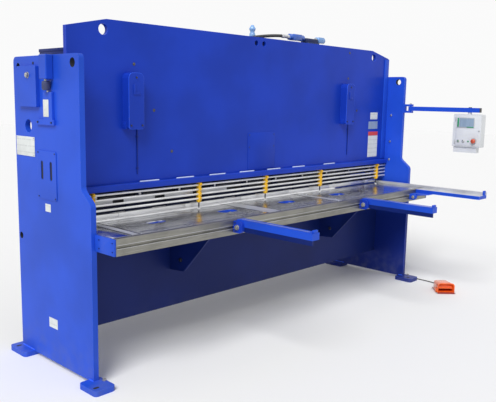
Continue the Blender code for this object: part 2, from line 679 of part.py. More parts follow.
def pendant_box(x):
    face = x - BOX_DEEP / 2
    outline = rectangle(BOX_Y[:1] + BOX_Z[:1], BOX_Y[1:] + BOX_Z[1:], 0.006, 2)
    case = plate("pendant_box", outline, "X", face, x + BOX_DEEP / 2)
    low = (face + 0.010, BOX_Y[0] + 0.035, BOX_Z[0] - 0.046)
    high = (x + BOX_DEEP / 2 - 0.010, BOX_Y[1] - 0.008, BOX_Z[0] + 0.004)
    combine(case, box("cable_trough", low, high), "UNION")
    low, high = (x, SWIVEL_Y, BOX_Z[1] - 0.006), (x, SWIVEL_Y, PENDANT_Z[0] - 0.0006)
    combine(case, rod("swivel_neck", low, high, 0.015, 24), "UNION")
    pockets = [("stop_pocket", STOP_PLACE[0], STOP_PLACE[1], 0.0125, 0.014)]
    pockets += [(f"{name}_pocket", y, BUTTON_Z, 0.0080, 0.010) for name, y in BUTTONS]
    for name, y, z, radius, deep in pockets:
        combine(case, rod(name, (face - 0.01, y, z), (face + deep, y, z), radius, 24), "DIFFERENCE")
    keep(set_origin(case, (x, SWIVEL_Y, BOX_Z[1])), "pale")
    profile = [(0.0, 0.030), (0.012, 0.0290), (0.0185, 0.024), (0.0185, 0.013), (0.0115, 0.011),
               (0.0115, -0.004), (0.0, -0.004)]
    keep(turned("emergency_stop", profile, (face, *STOP_PLACE), "-X", steps=28), "red")
    for (name, y), finish in zip(BUTTONS, ("green", "grey")):
        profile = [(0.0, 0.007), (0.0060, 0.0065), (0.0072, 0.005), (0.0072, -0.004), (0.0, -0.004)]
        keep(turned(f"{name}_button", profile, (face, y, BUTTON_Z), "-X", steps=24), finish)


# ---------------------------------------------------------------- pedal and cable

def pedal_frame():
    return Matrix.Translation((*PEDAL_PLACE, 0.0)) @ Matrix.Rotation(PEDAL_TURN, 4, "Z")


def pedal():
    """The hooded foot switch. Its own front, where the toe goes in, faces its -Y side."""
    wide, deep, tall = PEDAL_SIZE
    lip, sole = -deep / 2 - 0.004, 0.0005
    outline = rounded([(deep / 2, sole, 0.0), (deep / 2, tall, 0.018), (-deep / 2 + 0.030, tall, 0.012),
                       (-deep / 2 + 0.004, 0.026, 0.0), (lip, 0.026, 0.0), (lip, sole, 0.0)])
    housing = plate("pedal_housing", outline, "X", -wide / 2, wide / 2)
    low = (-wide / 2 + 0.007, -deep / 2 - 0.020, 0.020)
    high = (wide / 2 - 0.007, deep / 2 - 0.030, tall - 0.008)
    cavity = box("pedal_cavity", low, high)
    combine(housing, cavity, "DIFFERENCE")
    cavity.matrix_world = pedal_frame()
    housing.matrix_world = pedal_frame()
    keep(housing, "orange")
    plank = box("pedal_treadle", (-wide / 2 + 0.012, -0.112, -0.004), (wide / 2 - 0.012, 0.0, 0.004))
    hinge = Matrix.Translation((0.0, deep / 2 - 0.036, 0.036))
    plank.matrix_world = pedal_frame() @ hinge @ Matrix.Rotation(math.radians(-4), 4, "X")
    keep(plank, "black")


def cable():
    y, z = GLAND_PLACE
    profile = [(0.0, 0.0285), (0.0060, 0.0285), (0.0090, 0.018), (0.0140, 0.014), (0.0140, 0.0), (0.0, 0.0)]
    keep(turned("cable_gland", profile, (WIDTH + GAP, y, z), "X", steps=20), "black")
    tube("pedal_cable_drop", smooth_route(DROP_ROUTE, 0.020), CABLE_RADIUS, "black")
    tube("pedal_cable_run", smooth_route(RUN_ROUTE, 0.025), CABLE_RADIUS, "black")
    inner, outer = COIL_MID - COIL_HALF, COIL_MID + COIL_HALF
    profile = [(inner, COIL_TALL), (outer, COIL_TALL), (outer, 0.0005), (inner, 0.0005), (inner, COIL_TALL)]
    keep(turned("pedal_cable_coil", profile, (*COIL_CENTRE, 0.0), steps=32), "black")


def place_origin():
    """Moves every piece so that the origin is under the middle of the machine's own box."""
    left = -PAD_OUT
    right = WIDTH - PLATE + PAD_IN
    shift = Vector((-(left + right) / 2, -(ARM_TIP + RAIL_END) / 2, 0.0))
    for thing in list(parts.objects) + list(cutters.objects):
        thing.matrix_world = Matrix.Translation(shift) @ thing.matrix_world


clear_scene()
parts = new_collection(COLLECTION)
cutters = new_collection("cutters")
side_plates()
front_plate()
bed()
tie_beam()
table()
front_rail()
blades()
squaring_arm()
support_arms()
guard()
hold_down()
ram()
tank()
motor()
valve()
hose()
covers()
left_side_fittings()
back_gauge()
pendant()
pedal()
cable()
bpy.context.view_layer.update()
place_origin()
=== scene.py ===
"""The looks of a hydraulic guillotine shear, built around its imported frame.

Everything is in metres in the frame's own axes: +X along the blades to the right, +Y to the rear,
+Z up. at(x, y, z) gives a place measured from the left side plate's outer face, the front edge of
its leg and the floor, which is how the machine is drawn.
"""

import math

import bmesh
import bpy
from mathutils import Matrix, Vector


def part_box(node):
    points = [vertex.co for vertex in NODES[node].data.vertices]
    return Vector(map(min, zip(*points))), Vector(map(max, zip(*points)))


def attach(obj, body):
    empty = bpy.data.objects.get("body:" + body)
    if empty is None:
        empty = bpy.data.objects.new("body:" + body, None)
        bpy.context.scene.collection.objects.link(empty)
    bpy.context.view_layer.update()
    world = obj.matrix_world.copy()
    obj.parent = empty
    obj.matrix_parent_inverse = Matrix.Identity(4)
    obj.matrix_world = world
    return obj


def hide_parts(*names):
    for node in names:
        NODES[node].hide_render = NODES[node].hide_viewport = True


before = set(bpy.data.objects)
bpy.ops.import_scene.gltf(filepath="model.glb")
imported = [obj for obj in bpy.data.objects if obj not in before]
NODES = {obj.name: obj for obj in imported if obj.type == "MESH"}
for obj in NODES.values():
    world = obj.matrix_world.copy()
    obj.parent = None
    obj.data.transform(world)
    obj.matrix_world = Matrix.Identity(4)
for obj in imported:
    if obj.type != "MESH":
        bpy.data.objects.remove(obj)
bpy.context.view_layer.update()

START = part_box("front_plate")[0] - Vector((0.0323, 0.253, 1.003))
WIDTH = 3.190
PLATE = 0.032
TABLE_TOP = 0.828
FACE = 0.253
UP, FRONT, LEFT, RIGHT = Vector((0, 0, 1)), Vector((0, -1, 0)), Vector((-1, 0, 0)), Vector((1, 0, 0))
REAR = -FRONT


def at(x, y, z):
    return START + Vector((x, y, z))


# ---------------------------------------------------------------- camera, light and floor

CAMERA_PLACE = at(-1.8411, -2.8483, 1.5298)
CAMERA_AZIMUTH = 0.8124
CAMERA_PITCH = 0.1536
CAMERA_ROLL = 0.0193
SENSOR_WIDTH = 36
LENS = 47.562823


def make_camera():
    lens = bpy.data.cameras.new("camera")
    lens.sensor_width = SENSOR_WIDTH
    lens.lens = LENS
    lens.clip_end = 60
    camera = bpy.data.objects.new("camera", lens)
    bpy.context.scene.collection.objects.link(camera)
    turn, drop, roll = CAMERA_AZIMUTH, CAMERA_PITCH, CAMERA_ROLL
    ahead = Vector((math.sin(turn) * math.cos(drop), math.cos(turn) * math.cos(drop), -math.sin(drop)))
    across = Vector((math.cos(turn), -math.sin(turn), 0))
    above = across.cross(ahead)
    right = across * math.cos(roll) + above * math.sin(roll)
    top = above * math.cos(roll) - across * math.sin(roll)
    camera.matrix_world = Matrix.Translation(CAMERA_PLACE) @ Matrix((right, top, -ahead)).transposed().to_4x4()
    bpy.context.scene.camera = camera


SKY_AS_SEEN = 0.96
SKY_AS_LIGHT = 0.42


def make_studio():
    """A white room, dimmer as a light than it is where it is seen or mirrored, with a large soft key from the left."""
    world = bpy.data.worlds.new("studio")
    bpy.context.scene.world = world
    world.use_nodes = True
    nodes, links = world.node_tree.nodes, world.node_tree.links
    sky = nodes["Background"]
    sky.inputs["Color"].default_value = (1.0, 1.0, 1.0, 1.0)
    path, level = nodes.new("ShaderNodeLightPath"), nodes.new("ShaderNodeMapRange")
    level.inputs["To Min"].default_value = SKY_AS_SEEN
    level.inputs["To Max"].default_value = SKY_AS_LIGHT
    links.new(path.outputs["Is Diffuse Ray"], level.inputs["Value"])
    links.new(level.outputs["Result"], sky.inputs["Strength"])
    suns = (("key", Vector((-0.84, -0.42, 1.02)), 2.7, 30), ("fill", Vector((0.25, -0.9, 0.8)), 0.15, 60))
    for name, source, power, spread in suns:
        sun = bpy.data.lights.new(name, "SUN")
        sun.energy = power
        sun.angle = math.radians(spread)
        lamp = bpy.data.objects.new(name, sun)
        bpy.context.scene.collection.objects.link(lamp)
        lamp.matrix_world = (-source).to_track_quat("-Z", "Y").to_matrix().to_4x4()
    bpy.ops.mesh.primitive_plane_add(size=60, location=(0, 0, 0))
    floor = bpy.context.object
    floor.name = "studio_floor"
    bpy.context.scene.view_settings.view_transform = "Standard"
    return floor


# ---------------------------------------------------------------- shader arithmetic

class Field:
    """A socket of a material that takes part in arithmetic."""

    def __init__(self, paint, socket):
        self.paint = paint
        self.socket = socket

    def _with(self, operation, *others, swapped=False):
        values = (*others, self) if swapped else (self, *others)
        return self.paint.add("ShaderNodeMath", {"operation": operation}, *values)

    def __add__(self, other):
        return self._with("ADD", other)

    __radd__ = __add__

    def __sub__(self, other):
        return self._with("SUBTRACT", other)

    def __rsub__(self, other):
        return self._with("SUBTRACT", other, swapped=True)

    def __mul__(self, other):
        return self._with("MULTIPLY", other)

    __rmul__ = __mul__

    def __mod__(self, other):
        return self._with("FLOORED_MODULO", other)

    def __lt__(self, other):
        return self._with("LESS_THAN", other)


class Paint:
    """A material under construction."""

    def __init__(self, name):
        self.material = bpy.data.materials.new(name)
        self.material.use_nodes = True
        self.tree = self.material.node_tree
        self.shader = self.tree.nodes["Principled BSDF"]
        self.place = self.add("ShaderNodeTexCoord", {}, output="Object")

    def add(self, kind, settings, *values, output=0, **named):
        """Adds a node, gives it its settings, links or sets its sockets, and returns one output."""
        node = self.tree.nodes.new(kind)
        for key, value in settings.items():
            setattr(node, key, value)
        sockets = [s for s in node.inputs if s.enabled]
        for socket, value in [*zip(sockets, values), *((node.inputs[k], v) for k, v in named.items())]:
            self.put(socket, value)
        return Field(self, node.outputs[output])

    def put(self, socket, value):
        if isinstance(value, Field):
            self.tree.links.new(value.socket, socket)
        elif value is not None:
            socket.default_value = (*value, 1.0) if socket.type == "RGBA" and len(value) == 3 else value

    def stretched(self, amounts):
        return self.add("ShaderNodeVectorMath", {"operation": "MULTIPLY"}, self.place, amounts)

    def noise(self, scale, detail=2.0, stretch=(1, 1, 1), rough=0.5):
        return self.add("ShaderNodeTexNoise", {}, Vector=self.stretched(stretch), Scale=scale, Detail=detail,
                        Roughness=rough)

    def cells(self, scale, stretch=(1, 1, 1)):
        return self.add("ShaderNodeTexVoronoi", {}, Vector=self.stretched(stretch), Scale=scale)

    def along(self, axis):
        return self.add("ShaderNodeSeparateXYZ", {}, self.place, output=axis)

    def ramp(self, value, low, high, start=0.0, end=1.0):
        return self.add("ShaderNodeMapRange", {"interpolation_type": "SMOOTHSTEP"}, value, low, high, start, end)

    def blend(self, factor, first, second):
        node = self.tree.nodes.new("ShaderNodeMix")
        node.data_type = "RGBA"
        for socket, value in zip((node.inputs[0], node.inputs[6], node.inputs[7]), (factor, first, second)):
            self.put(socket, value)
        return Field(self, node.outputs[2])

    def relief(self, height, distance, strength=0.5):
        return self.add("ShaderNodeBump", {}, Height=height, Distance=distance, Strength=strength)

    def done(self, colour, roughness, metallic=0.0, normal=None, **constants):
        named = {"Base Color": colour, "Roughness": roughness, "Metallic": metallic, "Normal": normal}
        for key, value in [*named.items(), *((k.replace("_", " "), v) for k, v in constants.items())]:
            self.put(self.shader.inputs[key], value)
        return self.material


def shade(colour, amount):
    return tuple(c * amount for c in colour)


BLUE = (0.016, 0.076, 0.560)
# A darker copy of BLUE for the front plate, nose bar, covers and arm brackets: painted shade on faces turned from the
# key light.
SHADED_FACE_BLUE = (0.009, 0.044, 0.440)
DEEP_BLUE = (0.008, 0.024, 0.220)
# Dark navy for the bed, ram beam, ribs and tank: navy paint taken darker as painted shade.
NIGHT_BLUE = (0.006, 0.017, 0.130)
# Near-black blue for the hold-down guide, its skirt and the clamp bar's top: painted shade.
PAINTED_SHADE_BLUE = (0.003, 0.006, 0.030)


def enamel(name, colour, roughness=0.30, dusty=1.0, under=None, level=0.0, fade=0.0):
    """Sprayed machine enamel: slight clouding, orange peel, workshop dust near the floor.

    Below one level, or fading in over a height above it, the lower part takes a second colour; the materials use this
    split to paint shade."""
    p = Paint(name)
    cloud = p.noise(2.2, 3)
    fine = p.noise(45, 4)
    low = p.ramp(p.along(2), 0.30, 0.0) * p.ramp(p.noise(14, 5), 0.35, 0.75) * dusty
    speck = p.ramp(p.noise(160, 2), 0.70, 0.78) * 0.25
    body = p.blend(p.ramp(cloud, 0.3, 0.7), shade(colour, 0.86), shade(colour, 1.10))
    if under:
        lower = p.ramp(p.along(2), level + fade, level) if fade else p.along(2) < level
        body = p.blend(lower, body, under)
    body = p.blend(speck, body, shade(colour, 1.7))
    body = p.blend(low * 0.22, body, (0.22, 0.23, 0.26))
    peel = p.relief(p.noise(130, 2) + p.noise(24, 2) * 0.6, 0.0006, 0.25)
    return p.done(body, roughness + fine * 0.10 + low * 0.25, 0.0, peel, Specular_IOR_Level=0.17)


def edge_highlight_and_wear(name, colour):
    """An edge of the enamel: lighter all along as a painted highlight, with small chips of wear to the metal."""
    p = Paint(name)
    chips = p.ramp(p.noise(70, 5), 0.60, 0.66)
    body = p.blend(chips * 0.5, shade(colour, 1.6), (0.35, 0.36, 0.38))
    return p.done(body, 0.30 + chips * 0.2, chips * 0.6, p.relief(1 - chips, 0.0004, 0.4), Specular_IOR_Level=0.35)


def ground_steel(name, colour, grain, roughness=0.26, stain=0.35):
    """Ground or rolled steel: fine grain along one way, oil clouds, a few scratches."""
    p = Paint(name)
    lines = p.noise(5.0, 6, grain, 0.7)
    coarse = p.noise(1.6, 3, grain, 0.6)
    oil = p.ramp(p.noise(5.5, 5), 0.42, 0.70)
    marks = p.ramp(p.noise(9.0, 4, (grain[1], grain[0], grain[2]), 0.6), 0.70, 0.74)
    body = p.blend(p.ramp(lines, 0.25, 0.75), shade(colour, 0.72), shade(colour, 1.18))
    body = p.blend(oil * stain, body, shade(colour, 0.45))
    body = p.blend(marks * 0.35, body, (0.85, 0.85, 0.85))
    height = lines * 0.7 + coarse * 0.4 - marks * 0.3
    rough = roughness + p.ramp(lines, 0.3, 0.8) * 0.12 + oil * 0.12
    return p.done(body, rough, 1.0, p.relief(height, 0.0004, 0.35))


def drawn_steel(name, colour, roughness=0.20, metallic=1.0):
    """Bright drawn bar or turned steel with faint tool rings."""
    p = Paint(name)
    rings = p.noise(3.0, 4, (60, 4, 4))
    smear = p.noise(7.0, 4)
    body = p.blend(p.ramp(smear, 0.3, 0.75), shade(colour, 0.86), shade(colour, 1.05))
    rough = roughness + p.ramp(smear, 0.4, 0.7) * 0.12 + rings * 0.06
    return p.done(body, rough, metallic, p.relief(rings, 0.0002, 0.25))


def zinc(name, colour=(0.52, 0.51, 0.47)):
    """Zinc-plated fasteners: a mottled passivated film."""
    p = Paint(name)
    film = p.noise(120, 3)
    tint = p.blend(p.ramp(film, 0.35, 0.65), shade(colour, 0.75), shade(colour, 1.15))
    return p.done(tint, 0.30 + film * 0.15, 1.0, p.relief(p.cells(500), 0.0001, 0.2))


def moulded(name, colour, roughness=0.38, grain=420):
    """Moulded plastic or rubber with a fine texture and slight unevenness."""
    p = Paint(name)
    cloud = p.noise(18, 3)
    body = p.blend(p.ramp(cloud, 0.3, 0.7), shade(colour, 0.85), shade(colour, 1.12))
    skin = p.relief(p.cells(grain) + p.noise(90, 3) * 0.5, 0.0002, 0.30)
    return p.done(body, roughness + cloud * 0.12, 0.0, skin)


def glossy_moulding(name, colour):
    """Injection-moulded gloss plastic: smooth, with scuffs on its high spots."""
    p = Paint(name)
    cloud = p.noise(22, 3)
    scuff = p.ramp(p.noise(95, 4, (1, 1, 3)), 0.60, 0.72)
    body = p.blend(p.ramp(cloud, 0.3, 0.7), shade(colour, 0.88), shade(colour, 1.08))
    body = p.blend(scuff * 0.15, body, shade(colour, 1.6))
    return p.done(body, 0.24 + scuff * 0.25, 0.0, p.relief(p.noise(300, 2), 0.0002, 0.2), Coat_Weight=0.3)


def powder_coat(name, colour):
    """Textured powder coat on sheet steel."""
    p = Paint(name)
    grain = p.noise(380, 3)
    cloud = p.noise(6, 3)
    body = p.blend(p.ramp(cloud, 0.3, 0.7), shade(colour, 0.94), shade(colour, 1.03))
    return p.done(body, 0.42 + grain * 0.12, 0.0, p.relief(grain, 0.0003, 0.35))


def printed_plate(name, colour, bands):
    """A blank printed plate: a pale ground with faint ruled bands across its height."""
    p = Paint(name)
    smudge = p.noise(30, 4)
    rule = p.ramp((p.along(2) * bands) % 1.0, 0.78, 0.82) * p.ramp(p.noise(90, 2), 0.3, 0.6)
    body = p.blend(p.ramp(smudge, 0.3, 0.7), shade(colour, 0.92), colour)
    body = p.blend(rule * 0.35, body, (0.30, 0.32, 0.34))
    return p.done(body, 0.35 + smudge * 0.15, 0.0, p.relief(smudge, 0.0001, 0.2))


def shadow_black(name):
    """Painted shade for the unlit inside of a slot or hole."""
    p = Paint(name)
    dust = p.noise(60, 3)
    return p.done(p.blend(dust, (0.004, 0.005, 0.010), (0.012, 0.014, 0.022)), 0.7 + dust * 0.2)


def cable_sheath(name, colour=(0.022, 0.023, 0.026)):
    """Extruded cable sheath: satin, with a lengthwise drag and a trace of dust."""
    p = Paint(name)
    drag = p.noise(260, 3)
    dust = p.ramp(p.noise(35, 4), 0.45, 0.75)
    body = p.blend(dust * 0.35, colour, (0.12, 0.12, 0.12))
    return p.done(body, 0.42 + drag * 0.15, 0.0, p.relief(drag, 0.0001, 0.3))


def screen_glass(name):
    """A lit control screen: a pale field with faint darker rows."""
    p = Paint(name)
    rows = p.ramp((p.along(2) * 120) % 1.0, 0.55, 0.75) * p.ramp(p.noise(60, 1, (1, 1, 0.2)), 0.45, 0.6)
    body = p.blend(rows * 0.4, (0.30, 0.40, 0.50), (0.10, 0.16, 0.24))
    return p.done(body, 0.12 + p.noise(40, 3) * 0.1, 0.0, None, Coat_Weight=0.6)


def studio_floor_paint():
    """Plain matt white floor."""
    p = Paint("pale_floor")
    grain = p.noise(900, 1)
    return p.done(p.blend(grain, (0.86, 0.86, 0.86), (0.88, 0.88, 0.88)), 0.85, Specular_IOR_Level=0.1)


def make_materials():
    along_x = (1.2, 60, 60)
    return {
        "blue": enamel("machine_blue", BLUE),
        "face": enamel("front_plate_blue_painted_shade", SHADED_FACE_BLUE),
        # Support arms: navy below the top bar, painted shade on the web under it.
        "arm": enamel("arm_blue_painted_shade_web", BLUE, under=NIGHT_BLUE, level=0.7885),
        # Right plate: deep blue fading in towards the floor, painted shade under the table.
        "right_plate_painted_shade": enamel("right_plate_blue", BLUE, under=DEEP_BLUE, level=0.50, fade=0.45),
        "deep": enamel("deep_blue", DEEP_BLUE),
        "night": enamel("bed_navy_painted_shade", NIGHT_BLUE, 0.38),
        "shade": enamel("guide_painted_shade", PAINTED_SHADE_BLUE, 0.45),
        # Clamp bar: pale steel below its face's top, near-black above it as painted shade.
        "clamp_body": enamel("clamp_body", PAINTED_SHADE_BLUE, 0.40, under=(0.70, 0.71, 0.72), level=0.8655),
        "edge": edge_highlight_and_wear("blue_edge_highlight_and_wear", BLUE),
        "table": ground_steel("table_ground_steel", (0.68, 0.69, 0.73), along_x, 0.14, 0.3),
        "inlay": drawn_steel("inlay_steel", (0.62, 0.63, 0.65), 0.34, 0.55),
        "rail": ground_steel("rail_planed_steel", (0.30, 0.295, 0.265), along_x, 0.36, 0.3),
        "blade": ground_steel("blade_steel", (0.60, 0.60, 0.62), along_x, 0.18, 0.15),
        # Upper blade steel kept dark: painted shade behind the clamp and guard.
        "dark_blade": ground_steel("blade_steel_painted_shade", (0.13, 0.13, 0.14), along_x, 0.50, 0.2),
        "clamp": ground_steel("clamp_steel", (0.78, 0.78, 0.78), along_x, 0.26, 0.12),
        "bar": drawn_steel("guard_bar_steel", (0.86, 0.86, 0.85), 0.30, 0.45),
        "bright": drawn_steel("bright_drawn_steel", (0.86, 0.86, 0.86)),
        "turned": drawn_steel("turned_steel", (0.62, 0.62, 0.64)),
        "white": drawn_steel("pale_plated_pads", (0.74, 0.75, 0.76), 0.34, 0.3),
        "zinc": zinc("zinc_plate"),
        "dark_bolt": zinc("black_oxide_bolts", (0.10, 0.10, 0.11)),
        "brass": zinc("brass_fittings", (0.62, 0.42, 0.12)),
        "yellow": enamel("guard_yellow", (0.86, 0.50, 0.035), 0.32, 0.0),
        # Stitch welds in pale blue-white: painted highlight along the weld tops.
        "weld": enamel("weld_painted_highlight", (0.62, 0.70, 0.86), 0.35, 0.0),
        "black": moulded("black_rubber", (0.020, 0.020, 0.022)),
        "sheath": cable_sheath("cable_sheath"),
        "hose": cable_sheath("braided_hose", (0.030, 0.030, 0.034)),
        "grey": enamel("motor_grey", (0.16, 0.18, 0.20), 0.42, 0.0),
        "dim": enamel("adjuster_grey_blue", (0.070, 0.080, 0.160), 0.45, 0.0),
        "coil_blue": glossy_moulding("solenoid_blue", (0.035, 0.130, 0.560)),
        "coil_light": glossy_moulding("solenoid_light_blue", (0.22, 0.42, 0.78)),
        "valve_body": enamel("valve_body_blue_grey", (0.030, 0.045, 0.130), 0.40, 0.0),
        "pale": powder_coat("pendant_off_white", (0.66, 0.68, 0.70)),
        "pale_grey": powder_coat("pendant_grey_trim", (0.46, 0.48, 0.50)),
        "orange": glossy_moulding("pedal_orange", (0.86, 0.135, 0.018)),
        "red": glossy_moulding("stop_red", (0.56, 0.085, 0.035)),
        "pedal_red": glossy_moulding("pedal_base_red", (0.30, 0.020, 0.012)),
        "green": glossy_moulding("screen_key_green", (0.02, 0.30, 0.12)),
        "green_cap": glossy_moulding("start_pale_green", (0.34, 0.50, 0.40)),
        "button_grey": glossy_moulding("button_grey", (0.50, 0.52, 0.53)),
        "plate": printed_plate("blank_name_plate", (0.68, 0.71, 0.70), 28),
        "scale": printed_plate("scale_plate", (0.70, 0.71, 0.68), 140),
        "slate": printed_plate("slate_plate", (0.26, 0.34, 0.50), 30),
        "header": printed_plate("red_header", (0.62, 0.06, 0.05), 6),
        "hole": shadow_black("hole_shadow"),
        "screen": screen_glass("control_screen"),
        "floor": studio_floor_paint(),
        "glass": glossy_moulding("sight_glass", (0.55, 0.50, 0.30)),
    }


# ---------------------------------------------------------------- modelling helpers

def pick(*things):
    bpy.ops.object.select_all(action="DESELECT")
    for thing in things:
        thing.select_set(True)
    bpy.context.view_layer.objects.active = things[0]


def settle(thing):
    """Puts a piece's place, turn and scale into its mesh."""
    pick(thing)
    bpy.ops.object.transform_apply(location=True, rotation=True, scale=True)
    return thing


def modify(thing, kind, **settings):
    pick(thing)
    tool = thing.modifiers.new("tool", kind)
    for key, value in settings.items():
        setattr(tool, key, value)
    bpy.ops.object.modifier_apply(modifier=tool.name)
    return thing


def soften(thing, width, segments=2, angle=35):
    modify(thing, "BEVEL", width=width, segments=segments, limit_method="ANGLE", angle_limit=math.radians(angle))
    pick(thing)
    bpy.ops.object.shade_smooth_by_angle(angle=math.radians(angle))
    return thing


def block(low, high, edge=0.0015, segments=2):
    """A block between two places with rounded edges."""
    bpy.ops.mesh.primitive_cube_add(size=1, location=(low + high) / 2, scale=high - low)
    thing = settle(bpy.context.object)
    return soften(thing, edge, segments) if edge else thing


def turn_to(direction):
    return Vector(direction).to_track_quat("Z", "Y")


def drum(start, end, radius, edge=0.001, sides=48):
    """A round bar between two places with softened rims."""
    along = end - start
    bpy.ops.mesh.primitive_cylinder_add(vertices=sides, radius=radius, depth=along.length,
                                        location=(start + end) / 2, rotation=turn_to(along).to_euler())
    thing = settle(bpy.context.object)
    return soften(thing, edge, 2, 50) if edge else thing


def revolve(profile, place, direction, steps=48, angle=40):
    """A turned piece from (radius, height) points, top to bottom on its outer side."""
    bpy.ops.mesh.primitive_plane_add(size=1)
    thing = bpy.context.object
    shape = bmesh.new()
    points = [shape.verts.new((r, 0, h)) for r, h in profile]
    for one, two in zip(points, points[1:]):
        shape.edges.new((one, two))
    shape.to_mesh(thing.data)
    shape.free()
    modify(thing, "SCREW", steps=steps, render_steps=steps, use_merge_vertices=True, merge_threshold=0.00002)
    thing.matrix_world = Matrix.Translation(place) @ turn_to(direction).to_matrix().to_4x4()
    settle(thing)
    pick(thing)
    bpy.ops.object.mode_set(mode="EDIT")
    bpy.ops.mesh.select_all(action="SELECT")
    bpy.ops.mesh.normals_make_consistent(inside=False)
    bpy.ops.object.mode_set(mode="OBJECT")
    bpy.ops.object.shade_smooth_by_angle(angle=math.radians(angle))
    return thing


def prism(outline, axis, low, high, edge=0.001, segments=2):
    """A flat piece: an outline drawn across one axis ('X': y, z; 'Y': x, z; 'Z': x, y) and its two ends."""
    bpy.ops.mesh.primitive_plane_add(size=1)
    thing = bpy.context.object
    shape = bmesh.new()
    place = {"X": lambda a, b, h: at(h, a, b), "Y": lambda a, b, h: at(a, h, b), "Z": lambda a, b, h: at(a, b, h)}
    face = shape.faces.new([shape.verts.new(place[axis](a, b, low)) for a, b in outline])
    grown = bmesh.ops.extrude_face_region(shape, geom=[face])
    move = place[axis](0, 0, high) - place[axis](0, 0, low)
    bmesh.ops.translate(shape, vec=move, verts=[v for v in grown["geom"] if isinstance(v, bmesh.types.BMVert)])
    bmesh.ops.recalc_face_normals(shape, faces=shape.faces)
    shape.to_mesh(thing.data)
    shape.free()
    return soften(thing, edge, segments) if edge else thing


def cut(thing, *tools):
    for tool in tools:
        modify(thing, "BOOLEAN", operation="DIFFERENCE", solver="EXACT", object=tool)
        bpy.data.objects.remove(tool)
    return thing


def tube(points, radius, resolution=3):
    """A pipe or cable along a line of points."""
    line = bpy.data.curves.new("pipe", "CURVE")
    line.dimensions = "3D"
    line.bevel_depth = radius
    line.bevel_resolution = resolution
    line.use_fill_caps = True
    spline = line.splines.new("POLY")
    spline.points.add(len(points) - 1)
    for point, place in zip(spline.points, points):
        point.co = (*place, 1)
    thing = bpy.data.objects.new("pipe", line)
    bpy.context.scene.collection.objects.link(thing)
    return thing


def pipe(points, radius, sides=12):
    """A rigid pipe along a line of points, as a mesh."""
    thing = tube(points, radius, max(1, sides // 4 - 1))
    pick(thing)
    bpy.ops.object.convert(target="MESH")
    thing = bpy.context.object
    pick(thing)
    bpy.ops.object.shade_smooth_by_angle(angle=math.radians(50))
    return thing


def smooth_route(points, spacing):
    """Points along a smooth curve through the route's own points, about one spacing apart."""
    route = [Vector(p) for p in points]
    route = [2 * route[0] - route[1], *route, 2 * route[-1] - route[-2]]
    made = []
    for p0, p1, p2, p3 in zip(route, route[1:], route[2:], route[3:]):
        count = max(1, round((p2 - p1).length / spacing))
        for k in range(count):
            t = k / count
            made.append(0.5 * ((2 * p1) + (p2 - p0) * t + (2 * p0 - 5 * p1 + 4 * p2 - p3) * t * t
                               + (3 * p1 - p0 - 3 * p2 + p3) * t ** 3))
    return [*made, route[-2]]


def joined(things):
    pick(*things)
    if len(things) > 1:
        bpy.ops.object.join()
    return bpy.context.view_layer.objects.active


def piece(name, body, finish, *things, slot=None, replaces=()):
    """Joins shapes into one named piece, gives it its finish and hangs it on a body."""
    thing = joined(list(things))
    thing.name = name
    thing.data.name = name
    thing.data.materials.clear()
    thing.data.materials.append(MATERIALS[finish])
    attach(thing, body)
    if replaces:
        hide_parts(*replaces)
    return thing


def copies(thing, moves):
    """The shape and its copies, each with its own mesh, moved by each of the moves."""
    made = [thing]
    for move in moves:
        twin = thing.copy()
        twin.data = thing.data.copy()
        bpy.context.scene.collection.objects.link(twin)
        twin.data.transform(Matrix.Translation(move))
        made.append(twin)
    return made


def hex_bolt(place, direction, size, washer=True):
    """A hexagon bolt head with its washer, standing on a face."""
    direction = Vector(direction)
    thick = size * 0.14 if washer else 0.0
    parts = []
    if washer:
        parts.append(drum(place, place + direction * thick, size * 1.05, size * 0.03, 28))
    head = drum(place + direction * thick, place + direction * (thick + size * 0.62), size * 0.92, 0, 6)
    parts.append(soften(head, size * 0.07, 2, 30))
    parts.append(drum(place + direction * (thick + size * 0.55), place + direction * (thick + size * 0.66),
                      size * 0.70, size * 0.03, 24))
    return joined(parts)


def cap_screw(place, direction, size):
    """A socket cap screw: a round head with a hexagon recess."""
    direction = Vector(direction)
    head = drum(place, place + direction * size * 0.9, size * 0.8, size * 0.08, 28)
    tool = drum(place + direction * size * 0.45, place + direction * size * 1.2, size * 0.42, 0, 6)
    return cut(head, tool)


def screws(name, body, places, direction, size, finish="zinc", kind=hex_bolt):
    """One model of a fastener, copied to each of its places."""
    first = kind(places[0], direction, size)
    return piece(name, body, finish, *copies(first, [p - places[0] for p in places[1:]]))


def crisp(node, finish, edge=0.0015, edge_finish=None):
    """Finishes a frame part as it is: its edges are rounded and its material is set."""
    thing = NODES[node]
    thing.data.materials.clear()
    thing.data.materials.append(MATERIALS[finish])
    if edge:
        weld = thing.modifiers.new("weld", "WELD")
        weld.merge_threshold = 0.00005
        rounding = thing.modifiers.new("edges", "BEVEL")
        rounding.width = edge
        rounding.segments = 2
        rounding.limit_method = "ANGLE"
        rounding.angle_limit = math.radians(40)
        # The bevels take the edge finish: a painted highlight with chips of wear.
        if edge_finish:
            thing.data.materials.append(MATERIALS[edge_finish])
            rounding.material = 1
    return thing


# ---------------------------------------------------------------- cable

